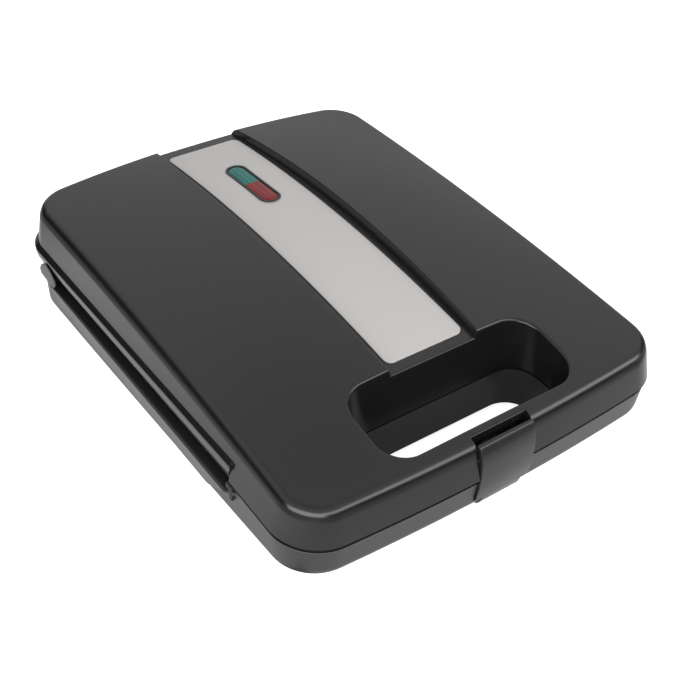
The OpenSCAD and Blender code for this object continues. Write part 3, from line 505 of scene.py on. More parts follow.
def polish_dome(mesh: bpy.types.Mesh) -> None:
    """Gives every corner that lies on the domed top the top's own normal.

    Args:
        mesh: a mesh in the seam frame whose other corners keep their normals.
    """
    co = read(mesh)
    loops = len(mesh.loops)
    index = np.empty(loops, np.int32)
    mesh.loops.foreach_get("vertex_index", index)
    normals = np.empty(loops * 3, np.float32)
    mesh.corner_normals.foreach_get("vector", normals)
    normals = normals.reshape(-1, 3)
    faces = len(mesh.polygons)
    total = np.empty(faces, np.int32)
    mesh.polygons.foreach_get("loop_total", total)
    face_n = np.empty(faces * 3, np.float32)
    mesh.polygons.foreach_get("normal", face_n)
    face_n = np.repeat(face_n.reshape(-1, 3), total, axis=0)
    p = co[index]
    wanted = crown_normal(p[:, 0], p[:, 1])
    near = np.abs(crown(p[:, 0], p[:, 1]) - p[:, 2]) < 0.02
    along = np.einsum("ij,ij->i", wanted, face_n) > 0.985
    normals[near & along] = wanted[near & along]
    mesh.normals_split_custom_set(normals.tolist())


# Shader graphs


class Value:
    """A socket in a shader graph; arithmetic on it adds Math nodes."""

    def __init__(self, graph: "Graph", socket: bpy.types.NodeSocket) -> None:
        self.graph = graph
        self.socket = socket

    def _math(self, operation: str, *others: "Value | float") -> "Value":
        return self.graph.node("ShaderNodeMath", [self, *others], operation=operation)

    def __add__(self, other: "Value | float") -> "Value":
        return self._math("ADD", other)

    def __sub__(self, other: "Value | float") -> "Value":
        return self._math("SUBTRACT", other)

    def __mul__(self, other: "Value | float") -> "Value":
        return self._math("MULTIPLY", other)

    def __rsub__(self, other: float) -> "Value":
        return self * -1 + other

    def __truediv__(self, other: "Value | float") -> "Value":
        return self._math("DIVIDE", other)

    def __pow__(self, other: "Value | float") -> "Value":
        return self._math("POWER", other)

    __radd__ = __add__
    __rmul__ = __mul__

    def clipped(self, low: float, high: float, to_low: float = 0.0, to_high: float = 1.0) -> "Value":
        """Maps low..high smoothly onto to_low..to_high."""
        return self.graph.node(
            "ShaderNodeMapRange", [self, low, high, to_low, to_high], interpolation_type="SMOOTHSTEP"
        )


class Graph:
    """A node tree, with the coordinates that its patterns read."""

    def __init__(self, tree: bpy.types.NodeTree, coords: str = "Object") -> None:
        self.tree = tree
        self.coords = self.node("ShaderNodeTexCoord", output=coords)

    def node(self, kind: str, inputs: list | dict = (), output: str | int = 0, **settings: object) -> Value:
        """Adds a node.

        Args:
            kind: the node's type.
            inputs: values or constants for its inputs, by order or by name.
            output: which output to return.
            settings: properties of the node.
        Returns:
            The chosen output.
        """
        n = self.tree.nodes.new(kind)
        for key, value in settings.items():
            setattr(n, key, value)
        pairs = inputs.items() if isinstance(inputs, dict) else enumerate(inputs)
        for key, value in pairs:
            if isinstance(value, Value):
                self.tree.links.new(value.socket, n.inputs[key])
            else:
                n.inputs[key].default_value = value
        return Value(self, n.outputs[output])

    def noise(self, scale: float, detail: float = 2.0, stretch: tuple = (1, 1, 1)) -> Value:
        """Noise over the object's own coordinates, scale in features per metre."""
        where = self.coords
        if stretch != (1, 1, 1):
            where = self.node("ShaderNodeMapping", {"Vector": self.coords, "Scale": stretch})
        return self.node("ShaderNodeTexNoise", {"Vector": where, "Scale": scale, "Detail": detail})

    def colour(self, factor: Value, low: tuple, high: tuple) -> Value:
        """Mixes two colours."""
        return self.node(
            "ShaderNodeMix", {0: factor, 6: (*low, 1), 7: (*high, 1)}, output=2, data_type="RGBA"
        )

    def bump(self, height: Value, strength: float, distance: float) -> Value:
        """A bump normal from a height."""
        return self.node("ShaderNodeBump", {"Strength": strength, "Distance": distance, "Height": height})

    def mixed(self, factor: Value, first: Value, second: Value, output: str) -> None:
        """Sends a mix of two shaders to an output node."""
        both_shaders = self.node("ShaderNodeMixShader", [factor, first, second])
        self.tree.links.new(both_shaders.socket, self.tree.nodes[output].inputs["Surface"])

    def ray(self, kind: str) -> Value:
        """1 for rays of a kind, such as Camera."""
        return self.node("ShaderNodeLightPath", output=f"Is {kind} Ray")

    def lobe(self, azimuth: float, elevation: float, inner: float, outer: float) -> Value:
        """1 towards a direction, fading to 0 between two angles off it, on a world's coordinates.

        Args:
            azimuth: degrees from the rear, clockwise seen from above.
            elevation: degrees over the horizon.
            inner: angle up to which it is 1.
            outer: angle from which it is 0.
        """
        a, e, i, o = (math.radians(v) for v in (azimuth, elevation, inner, outer))
        axis = (math.sin(a) * math.cos(e), math.cos(a) * math.cos(e), math.sin(e))
        along = self.node("ShaderNodeVectorMath", [self.coords, axis], output=1, operation="DOT_PRODUCT")
        return along.clipped(math.cos(o), math.cos(i))


class Paint(Graph):
    """A material's node tree, with its Principled shader."""

    def __init__(self, name: str) -> None:
        self.material = bpy.data.materials.new(name)
        self.material.use_nodes = True
        super().__init__(self.material.node_tree)
        self.shader = self.tree.nodes["Principled BSDF"]

    def feed(self, **sockets: object) -> bpy.types.Material:
        """Sets or links the shader's inputs; underscores stand for spaces."""
        for key, value in sockets.items():
            socket = self.shader.inputs[key.replace("_", " ")]
            if isinstance(value, Value):
                self.tree.links.new(value.socket, socket)
            else:
                socket.default_value = value
        return self.material


@dataclass(frozen=True)
class Moulding:
    """Moulded plastic or rubber: fine spark-eroded grain, slow variation of gloss."""

    colour: tuple[float, float, float]
    rough: float = 0.36
    grain: float = 0.12
    grain_scale: float = 2600.0
    vary: float = 0.05
    specular: float = 0.5

    def build(self, name: str) -> bpy.types.Material:
        """The material."""
        g = Paint(name)
        slow = g.noise(18, 3)
        fine = g.noise(self.grain_scale, 2)
        high = tuple(c * 1.35 for c in self.colour)
        return g.feed(
            Base_Color=g.colour(slow * 0.6 + fine * 0.4, self.colour, high),
            Roughness=slow * self.vary + fine * 0.04 + (self.rough - self.vary / 2),
            Specular_IOR_Level=self.specular,
            Normal=g.bump(fine, self.grain, 0.00006),
        )


@dataclass(frozen=True)
class Metal:
    """Metal sheet, wire or casting, brushed along one axis if stretch says so."""

    colour: tuple[float, float, float]
    rough: float = 0.35
    metallic: float = 1.0
    scale: float = 900.0
    stretch: tuple[float, float, float] = (1, 1, 1)
    mark: float = 0.12
    bump: float = 0.08

    def build(self, name: str) -> bpy.types.Material:
        """The material."""
        g = Paint(name)
        lines = g.noise(self.scale, 3, self.stretch)
        slow = g.noise(25, 2)
        low = tuple(c * (1 - self.mark) for c in self.colour)
        return g.feed(
            Base_Color=g.colour(lines * 0.5 + slow * 0.5, low, self.colour),
            Metallic=self.metallic,
            Roughness=lines * 0.08 + slow * 0.06 + (self.rough - 0.07),
            Normal=g.bump(lines, self.bump, 0.00004),
        )


@dataclass(frozen=True)
class Lens:
    """Clear tinted plastic with flutes inside, drawn as stripes of tint."""

    colour: tuple[float, float, float]
    dark: tuple[float, float, float]

    def build(self, name: str) -> bpy.types.Material:
        """The material."""
        g = Paint(name)
        across = g.node("ShaderNodeSeparateXYZ", [g.coords], output=0)
        flute = g.node("ShaderNodeMath", [across * (2 * math.pi / 0.0032)], operation="SINE")
        cloud = g.noise(160, 2, (1, 0.4, 1))
        tint = (flute * 0.22 + cloud * 0.9 + 0.1).clipped(0.2, 1.0)
        return g.feed(
            Base_Color=g.colour(tint, self.dark, self.colour),
            Roughness=cloud * 0.06 + 0.2,
            Specular_IOR_Level=0.25,
            Coat_Weight=0.1,
            Coat_Roughness=0.08,
            Normal=g.bump(flute, 0.08, 0.0002),
        )


@dataclass(frozen=True)
class Coating:
    """Dark non-stick coating over cast aluminium, with fine speckle and orange peel."""

    colour: tuple[float, float, float]
    fleck: tuple[float, float, float]

    def build(self, name: str) -> bpy.types.Material:
        """The material."""
        g = Paint(name)
        fleck = g.noise(2400, 1).clipped(0.68, 0.78)
        peel = g.noise(700, 2)
        return g.feed(
            Base_Color=g.colour(fleck, self.colour, self.fleck),
            Roughness=peel * 0.1 + 0.33,
            Metallic=0.15,
            Normal=g.bump(peel, 0.15, 0.00008),
        )


@dataclass(frozen=True)
class Clear:
    """Glass of a small lamp."""

    colour: tuple[float, float, float]

    def build(self, name: str) -> bpy.types.Material:
        """The material."""
        g = Paint(name)
        cloud = g.noise(300, 1)
        return g.feed(
            Base_Color=g.colour(cloud, self.colour, (1, 0.9, 0.8)),
            Roughness=cloud * 0.05 + 0.05,
            Transmission_Weight=0.8,
        )


class Finish(Enum):
    """Every finish on the part, each with the record's slot it stands for."""

    HOUSING = ("housing", Moulding((0.006, 0.006, 0.0063), rough=0.2, grain=0.06, vary=0.04))
    BASE = ("housing", Moulding((0.011, 0.011, 0.0115), rough=0.33, grain=0.18, vary=0.05))
    LATCH = ("housing", Moulding((0.009, 0.009, 0.0095), rough=0.28, grain=0.12, vary=0.04))
    TRIM = ("trim", Metal((0.53, 0.515, 0.505), rough=0.5, metallic=0.3, scale=1500, stretch=(1, 0.03, 1), mark=0.05, bump=0.03))
    BEZEL = ("bezel", Moulding((0.003, 0.003, 0.003), rough=0.28, grain=0.04, vary=0.03))
    GREEN = ("green", Lens((0.022, 0.2, 0.17), (0.008, 0.09, 0.08)))
    RED = ("red", Lens((0.27, 0.022, 0.024), (0.12, 0.008, 0.01)))
    NONSTICK = ("nonstick", Coating((0.018, 0.018, 0.02), (0.07, 0.07, 0.075)))
    HEATER = ("heater", Metal((0.24, 0.22, 0.2), rough=0.55, scale=400, mark=0.35, bump=0.15))
    ZINC = ("zinc", Metal((0.62, 0.62, 0.6), rough=0.32, scale=600, mark=0.15))
    SHIELD = ("shield", Metal((0.8, 0.8, 0.8), rough=0.22, scale=700, stretch=(1, 0.05, 1), mark=0.08, bump=0.04))
    THERMOSTAT = ("thermostat", Metal((0.6, 0.55, 0.45), rough=0.38, scale=900, mark=0.12))
    CERAMIC = ("ceramic", Moulding((0.62, 0.57, 0.46), rough=0.6, grain=0.3, grain_scale=1500))
    BLOCK = ("block", Moulding((0.7, 0.69, 0.66), rough=0.4, grain=0.08))
    LEADS = ("leads", Moulding((0.4, 0.07, 0.04), rough=0.5, grain=0.1, grain_scale=900))
    RUBBER = ("rubber", Moulding((0.013, 0.013, 0.013), rough=0.68, grain=0.35, grain_scale=1800))
    STEEL = ("steel", Metal((0.55, 0.56, 0.57), rough=0.26, scale=1200, stretch=(0.05, 1, 1), mark=0.1))
    BOARD = ("board", Moulding((0.26, 0.16, 0.06), rough=0.5, grain=0.2, grain_scale=1200))
    GLASS = ("lamp_glass", Clear((0.85, 0.6, 0.4)))

    @property
    def slot(self) -> str:
        """The record's material slot."""
        return self.value[0]

    @property
    def material(self) -> bpy.types.Material:
        """The material, made on first use."""
        name = f"{self.name.lower()}_finish"
        return bpy.data.materials.get(name) or self.value[1].build(name)


CAD_FINISHES: dict[str, Finish] = {
    "base_housing": Finish.BASE,
    "lower_plate": Finish.NONSTICK,
    "lower_heater": Finish.HEATER,
    "lower_heater_clips": Finish.ZINC,
    "lower_heat_shield": Finish.SHIELD,
    "lower_plate_screws": Finish.ZINC,
    "thermostat": Finish.THERMOSTAT,
    "thermal_fuse": Finish.CERAMIC,
    "terminal_block": Finish.BLOCK,
    "internal_leads": Finish.LEADS,
    "cord_gland": Finish.RUBBER,
    "feet": Finish.RUBBER,
    "hinge_pins": Finish.STEEL,
    "lid_housing": Finish.HOUSING,
    "trim_plate": Finish.TRIM,
    "lamp_bezel": Finish.BEZEL,
    "green_lens": Finish.GREEN,
    "red_lens": Finish.RED,
    "neon_lamps": Finish.GLASS,
    "lamp_holder": Finish.BOARD,
    "lamp_holder_screws": Finish.ZINC,
    "upper_plate": Finish.NONSTICK,
    "upper_heater": Finish.HEATER,
    "upper_heater_clips": Finish.ZINC,
    "upper_heat_shield": Finish.SHIELD,
    "upper_plate_screws": Finish.ZINC,
    "latch": Finish.LATCH,
    "latch_pin": Finish.STEEL,
}


# Lid


@dataclass
class Lid:
    """The domed lid: skirt, rounded shoulder, channel for the trim, handle opening and latch recess."""

    shoulder_steps: int = 14
    shoulder_start: float = math.radians(19)
    dome_steps: int = 34
    crease_drop: float = 2.0
    rail_stand: tuple[float, float] = (0.68, 0.0098)

    def shell(self) -> Form:
        """Outside of the lid.

        Rings rise from the seam up the drafted skirt, turn over the shoulder on part of a quarter ellipse,
        which starts with a faint crease, and shrink over the dome to its middle.
        """
        rings = [at(outline(0.35), S.lid_gap), at(outline(0.05), S.lid_gap + 0.35)]
        start = at(outline(0.05), S.lid_gap + 0.35)
        turn = []
        for a in np.linspace(self.shoulder_start, math.pi / 2, self.shoulder_steps):
            turn.append(on_crown(outline(S.skirt_draft + S.edge_w * (1 - math.cos(a))), S.edge_h * (1 - math.sin(a))))
        tangent = turn[0] - turn[1]
        crease = turn[0] + tangent * (self.crease_drop / np.abs(tangent[:, 2:]))
        for t in (0.25, 0.5, 0.75, 0.95, 0.988, 1.0):
            rings.append(start + (crease - start) * t)
        rings.append((crease + turn[0]) / 2)
        rings += turn
        inner = outline(S.skirt_draft + S.edge_w)
        for s in np.linspace(1, 0, self.dome_steps + 1)[1:-1]:
            rings.append(on_crown(inner * s, 0))
        return Form.loft(rings, tip=np.array([0, 0, crown(np.array(0.0), np.array(0.0))]))

    def room(self) -> Form:
        """Inside of the lid."""
        inner = outline(S.skirt_draft + S.edge_w + 2)
        rings = [at(outline(S.wall), -12), at(outline(S.wall), S.lid_gap)]
        rings.append(on_crown(outline(S.skirt_draft + S.wall - 0.4), S.edge_h + 1.6))
        rings.append(on_crown(outline(S.skirt_draft + S.wall + 1), S.edge_h - 1))
        for s in (1, 0.9, 0.75, 0.6, 0.45, 0.3, 0.15):
            rings.append(on_crown(inner * s, S.wall))
        return Form.loft(rings, tip=np.array([0, 0, crown(np.array(0.0), np.array(0.0)) - S.wall]))

    def edge(self, inset: float, law: tuple[float, float], dz: float = 0.0) -> np.ndarray:
        """Ring along the rail.

        Args:
            inset: how far inside the rail's outer edge, which stands out more towards the rear.
            law: height over the seam and its slope.
            dz: added to that height.
        Returns:
            The ring's points.
        """
        p = outline(inset)
        out = np.clip(line(self.rail_stand, p[:, 1]), -0.5, 2.3)[:, None]
        p = p + (outline(inset - 1) - p) * out
        return at(p, line(law, p[:, 1]) + dz)

    def rail(self) -> Solid:
        """Rail round the sides and the rear: bevelled at the top, cut off with a round corner at its front end."""
        top = S.rail_top
        profile = [self.edge(S.wall + 3.2, S.rail_bottom), self.edge(0, S.rail_bottom), self.edge(0, top, -0.5),
                   self.edge(0.1, top, -0.15), self.edge(0.3, top, 0.1), self.edge(3.0, top, 2.8),
                   self.edge(S.wall + 3.2, top, 2.8)]
        y, r = S.slot_front - 0.9, 1.3
        z = float(line(top, np.array(y))) + 1.2
        corner = [[y + r - r * math.sin(a), z - r + r * math.cos(a)] for a in quarter(7)[::-1]]
        side = [[260, 60], [260, -40], [y + 1.2, -40], [y + 1.2, z - 5.4], [y, z - 4.6]] + corner + [[y + 5, z + 1.6], [y + 5, 60]]
        return Solid(Form.loft(profile, wrap=True)) & Form.across(side, -200, 200)

    def hollow(self) -> Solid:
        """What makes the rail's face hollow: outside a cubic that curves inwards from the rail's edge down."""
        depth, bottom = 1.9, S.rail_bottom[0] - S.rail_top[0] + 0.5
        slope = S.rail_bottom[1] - S.rail_top[1]
        rings = []
        for t in (0.0, 0.15, 0.3, 0.45, 0.6, 0.75, 0.9, 1.0, 1.2):
            law = (S.rail_top[0] - 0.5 + bottom * t, S.rail_top[1] + slope * t)
            rings.append(self.edge(depth * t**3 + (0.0 if t else -0.02), law))
        low = (S.rail_top[0] - 0.5 + bottom * 1.2, S.rail_top[1] + slope * 1.2)
        rings += [self.edge(-5, low), self.edge(-5, (S.rail_top[0] - 0.5, S.rail_top[1]))]
        y = S.slot_front
        return Solid(Form.loft(rings, wrap=True)) & Form.across([[y, -60], [290, -60], [290, 60], [y, 60]], -200, 200)

    def channel(self, g: float = 0.0, rim: float = 0.9) -> Form:
        """Space over the channel floor.

        Sections across the lid, set along it: a floor that follows the trim's arc, walls that lean out and
        a quarter-round flare where they meet the dome. Grown by g it has no flare.
        """
        base = trim_surface(np.array(170.0)) - 2
        rings = []
        for y in np.concatenate([np.linspace(S.grip_rear - 30, 166, 70), np.linspace(167, 182, 12)]):
            floor = float(trim_surface(np.array(y))) - S.trim_t - 0.1 - g
            half = lambda z: S.channel_half + g + max(0.0, S.channel_lean * (z - base))
            top = float(crown(np.array(half(40.0)), np.array(y)))
            side = [[half(floor), floor]]
            if g == 0:
                edge = max(top - rim, floor + 0.3)
                side.append([half(edge), edge])
                for a in quarter(6)[1:]:
                    side.append([half(edge) + rim * (1 - math.cos(a)), edge + (top - edge) * math.sin(a)])
                side.append([half(edge) + rim, top + 0.12])
            else:
                side += [[half(floor + 1 + 0.2 * k), floor + 1 + 0.2 * k] for k in range(7)]
            side.append([side[-1][0], 62.0])
            side = np.array(side)
            ring = np.concatenate([side, side[::-1] * np.array([-1, 1])])
            rings.append(np.column_stack([ring[:, 0], np.full(len(ring), y), ring[:, 1]]))
        return Form.loft(rings)

    def grip(self, g: float = 0.0) -> Form:
        """Handle opening above the seam.

        A round-cornered prism that widens upwards; its rim turns over on a quarter circle that follows
        the dome. Grown by g it has no rim.
        """
        front = S.grip_front + 1.6

        def plan(o: float) -> np.ndarray:
            h, r = S.grip_half + g + o, S.grip_corner + g + o
            return round_rect(-h, h, S.grip_front - g - o, S.grip_rear + g + o, r)

        h = S.grip_seam_half + g
        seam = round_rect(-h, h, front - g, S.grip_seam_rear + g, S.grip_corner + g)
        top = plan(0)
        n = min(len(seam), len(top))
        seam, top = resampled(seam, n), resampled(top, n)
        rings = [at(seam, -9), at(seam, 0)]
        rim = on_crown(top, S.grip_rim)
        for t in (0.33, 0.66):
            rings.append(rings[1] + (rim - rings[1]) * t)
        if g == 0:
            for a in quarter(8):
                o = S.grip_rim * (1 - math.cos(a))
                rings.append(on_crown(resampled(plan(o), n), S.grip_rim * (1 - math.sin(a))))
            wide = resampled(plan(S.grip_rim), n)
            rings += [on_crown(wide, -0.1), at(wide, 60)]
        else:
            rings += [rim, at(top, 60)]
        return Form.loft(rings)

    def recess(self, g: float = 0.0) -> Form:
        """Recess in the front that the latch hangs in, its rear edge rounded at the top."""
        half = S.latch_half + S.latch_gap + g
        rear = S.recess_rear + g
        top = float(crown(np.array(0.0), np.array(rear)))
        profile = [[-190, -12], [rear, -12], [rear, top - 1]]
        if g == 0:
            profile += [[rear + 0.9 * (1 - math.cos(a)), top - 1 + 0.95 * math.sin(a)] for a in quarter(6)[1:]]
            profile.append([rear + 0.9, 48])
        else:
            profile.append([rear, 48])
        profile.append([-190, 48])
        return Form.across(profile, -half, half)

    def knuckles(self) -> Form:
        """The two hinge knuckles and their webs, one form a side."""
        x0 = S.hinge_x - S.knuckle_l / 2
        y, z, r = S.hinge_y, S.hinge_z, S.knuckle_r
        low = line(S.rail_bottom, 176.0) + 0.4
        profile = [[y - 13, low], [y - 2.2, z - 3.2]]
        profile += [[y + r * math.cos(a), z + r * math.sin(a)] for a in np.linspace(-2.2, 1.1, 20)]
        profile += [[y - 3, 3.5], [y - 13, 3.5]]
        return both(Form.across(profile, x0, x0 + S.knuckle_l))

    def build(self) -> None:
        """Makes the piece."""
        shell = Solid(self.shell()) + self.rail() - self.hollow()
        room = Solid(self.room()) - self.channel(S.wall) - self.grip(S.wall - 0.2) - self.recess(S.wall - 0.2)
        window = S.bezel_l - 2.4, S.bezel_w - 2.4
        lid = shell - room + self.knuckles() - self.channel() - self.grip() - self.recess() - self.lip()
        lid = lid - lamp_prism(*window, -8, 8)
        lid = lid - both(Form.rod((50, S.hinge_y, S.hinge_z), (120, S.hinge_y, S.hinge_z), S.hinge_pin_d / 2 + 0.05))
        lid = lid - Form.rod((-25.4, S.latch_y, S.latch_z), (25.4, S.latch_y, S.latch_z), S.latch_pin_d / 2)
        place("lid_shell", lid.taken(), Body.LID, Finish.HOUSING.material, Finish.HOUSING.slot,
              ("lid_housing",), dome=True)

    def lip(self) -> Form:
        """What rounds the front lip of the channel floor off: the corner outside a quarter circle."""
        r = 1.1
        y = S.grip_rear - 0.55
        z = float(trim_surface(np.array(y))) - S.trim_t - 0.1
        arc = [[y + r - r * math.sin(a), z - r + r * math.cos(a)] for a in quarter(8)]
        profile = [[y + r, z + 0.4]] + [[p[0], p[1]] for p in arc] + [[y - 1.5, z - r], [y - 1.5, z + 0.4]]
        h = S.channel_half + 0.6
        return Form.across(profile, -h, h)


def resampled(ring: np.ndarray, n: int) -> np.ndarray:
    """A ring of plan points taken at n even shares of its point list."""
    m = len(ring)
    if m == n:
        return ring
    t = np.arange(n) / n * m
    closed = np.vstack([ring, ring[:1]])
    return np.column_stack([np.interp(t, np.arange(m + 1), closed[:, k]) for k in (0, 1)])


def grid_faces(rows: int, columns: int) -> np.ndarray:
    """Corner numbers of the cells of a grid of points."""
    i = (np.arange(rows - 1)[:, None] * columns + np.arange(columns - 1)).reshape(-1)
    return np.stack([i, i + 1, i + columns + 1, i + columns], 1)


def border(rows: int, columns: int) -> np.ndarray:
    """Numbers of a grid's outer points, in order round it."""
    return np.concatenate([
        np.arange(columns),
        np.arange(1, rows) * columns + columns - 1,
        (rows - 1) * columns + np.arange(columns - 2, -1, -1),
        np.arange(rows - 2, 0, -1) * columns,
    ])


def lamp_frame() -> Matrix:
    """Matrix from the lamp window's own frame to the seam frame, in millimetres."""
    y = S.lamp_y
    rise = float(trim_surface(np.array(y + 20)) - trim_surface(np.array(y - 20))) / 40
    return Matrix.Translation((S.lamp_x, y, float(trim_surface(np.array(y))))) @ Matrix.Rotation(math.atan(rise), 4, "X")


def in_lamp_frame(form: Form) -> Form:
    """Moves a form drawn in the lamp window's frame into the seam frame."""
    m = np.array(lamp_frame())
    return Form(form.verts @ m[:3, :3].T + m[:3, 3], form.faces)


def oblong(length: float, width: float, inset: float = 0.0) -> np.ndarray:
    """Outline of the lamp window: a long shape with nearly half-round ends."""
    w, l = width / 2 - inset, length / 2 - inset
    return round_rect(-w, w, -l, l, w - 0.3, arc=14, step=2.0)


def lamp_prism(length: float, width: float, z0: float, z1: float) -> Form:
    """Upright prism on the lamp window's outline."""
    ring = oblong(length, width)
    return in_lamp_frame(Form.loft([at(ring, z0), at(ring, z1)]))


# Trim and lamps


@dataclass
class Trim:
    """The bent silver plate in the channel, with the window for the lamps."""

    edge: float = 0.25
    rows: int = 64
    columns: int = 15

    def plan(self, inset: float) -> tuple[np.ndarray, np.ndarray]:
        """Grid over the plate: rows across whose half width shrinks by a circle's arc at both ends.

        Args:
            inset: how far inside the plate's outline.
        Returns:
            x and y of the grid's points.
        """
        y0, y1, r = S.trim_front + inset, S.trim_rear - inset, S.trim_corner - inset
        ends = r * (1 - np.cos(quarter(8)))
        y = np.concatenate([y0 + ends, np.linspace(y0 + r, y1 - r, self.rows)[1:-1], y1 - ends[::-1]])
        over = np.clip(np.maximum(y0 + r - y, y - (y1 - r)), 0, r)
        half = S.trim_half - inset - r + np.sqrt(np.maximum(r * r - over**2, 0))
        u, y = np.meshgrid(np.linspace(-1, 1, self.columns), y)
        return u * half[:, None], y

    def build(self) -> None:
        """Makes the piece: a grid on an arc, a rounded edge of rings and a grid below."""
        rows, columns = self.plan(0)[0].shape
        edge = border(rows, columns)
        levels = [(0.0, S.trim_t)] + [(self.edge * (1 - math.cos(a)), self.edge * (1 - math.sin(a))) for a in quarter(5)]
        sheets = []
        for inset, drop in levels:
            x, y = self.plan(inset)
            sheets.append(np.stack([x, y, trim_surface(y) - drop], -1).reshape(-1, 3))
        n, m = rows * columns, len(edge)
        verts = np.concatenate([sheets[0], sheets[-1]] + [s[edge] for s in sheets[1:-1]])
        tracks = [edge] + [2 * n + k * m + np.arange(m) for k in range(len(levels) - 2)] + [edge + n]
        up = grid_faces(rows, columns)
        walls = [np.stack([a, np.roll(a, -1), np.roll(b, -1), b], 1) for a, b in zip(tracks, tracks[1:])]
        faces = np.concatenate([up[:, ::-1], up + n] + walls)
        skin = Form(verts, [tuple(f) for f in faces.tolist()]).outward()
        plate = Solid(skin) - lamp_prism(S.bezel_l - 2, S.bezel_w - 2, -8, 8)
        place("trim_skin", plate.taken(), Body.LID, Finish.TRIM.material, Finish.TRIM.slot, ("trim_plate",))


@dataclass
class LampWindow:
    """The black bezel and its two lenses."""

    def bezel(self) -> None:
        """A rim with a rounded outer edge round a long opening."""
        l, w, r = S.bezel_l, S.bezel_w, S.bezel_rim
        rings = [at(oblong(l, w, 1.4), -6.5), at(oblong(l, w, 1.4), 0.3), at(oblong(l, w), 0.3)]
        e = 0.4
        for a in quarter(6):
            rings.append(at(oblong(l, w, e * (1 - math.cos(a))), S.bezel_stand - e * (1 - math.sin(a))))
        for a in quarter(5):
            rings.append(at(oblong(l, w, r - e + e * math.sin(a)), S.bezel_stand - e * (1 - math.cos(a))))
        rings.append(at(oblong(l, w, r), -6.5))
        body = Solid(in_lamp_frame(Form.loft(rings, wrap=True)))
        place("bezel_rim", body.taken(), Body.LID, Finish.BEZEL.material, Finish.BEZEL.slot, ("lamp_bezel",))

    def lens(self, name: str, front: bool, finish: Finish, node: str) -> None:
        """Half of a long bevelled lens.

        Rings rise from the skirt, lean in over the bevel and close on a slightly crowned top.

        Args:
            name: the piece's name.
            front: the half towards the handle.
            finish: its finish.
            node: the CAD node it stands for.
        """
        l, w = S.bezel_l - 2 * S.bezel_rim - 0.3, S.bezel_w - 2 * S.bezel_rim - 0.3
        rings = [at(oblong(l, w), -2.5), at(oblong(l, w), 0.0), at(oblong(l, w, 0.12), 0.14)]
        for t in (0.33, 0.66, 1.0):
            rings.append(at(oblong(l, w, 0.12 + 1.7 * t), 0.14 + 0.62 * t))
        rings += [at(oblong(l, w, 2.2), 0.86), at(oblong(l, w, 3.2), 0.92)]
        y0, y1 = (-l, -0.1) if front else (0.1, l)
        box = in_lamp_frame(Form.across([[y0, -10], [y1, -10], [y1, 10], [y0, 10]], -20, 20))
        half = Solid(in_lamp_frame(Form.loft(rings))) & box
        place(name, half.taken(), Body.LID, finish.material, finish.slot, (node,), sharp=24)

    def build(self) -> None:
        """Makes the pieces."""
        self.bezel()
        self.lens("lens_green", False, Finish.GREEN, "green_lens")
        self.lens("lens_red", True, Finish.RED, "red_lens")


# Base


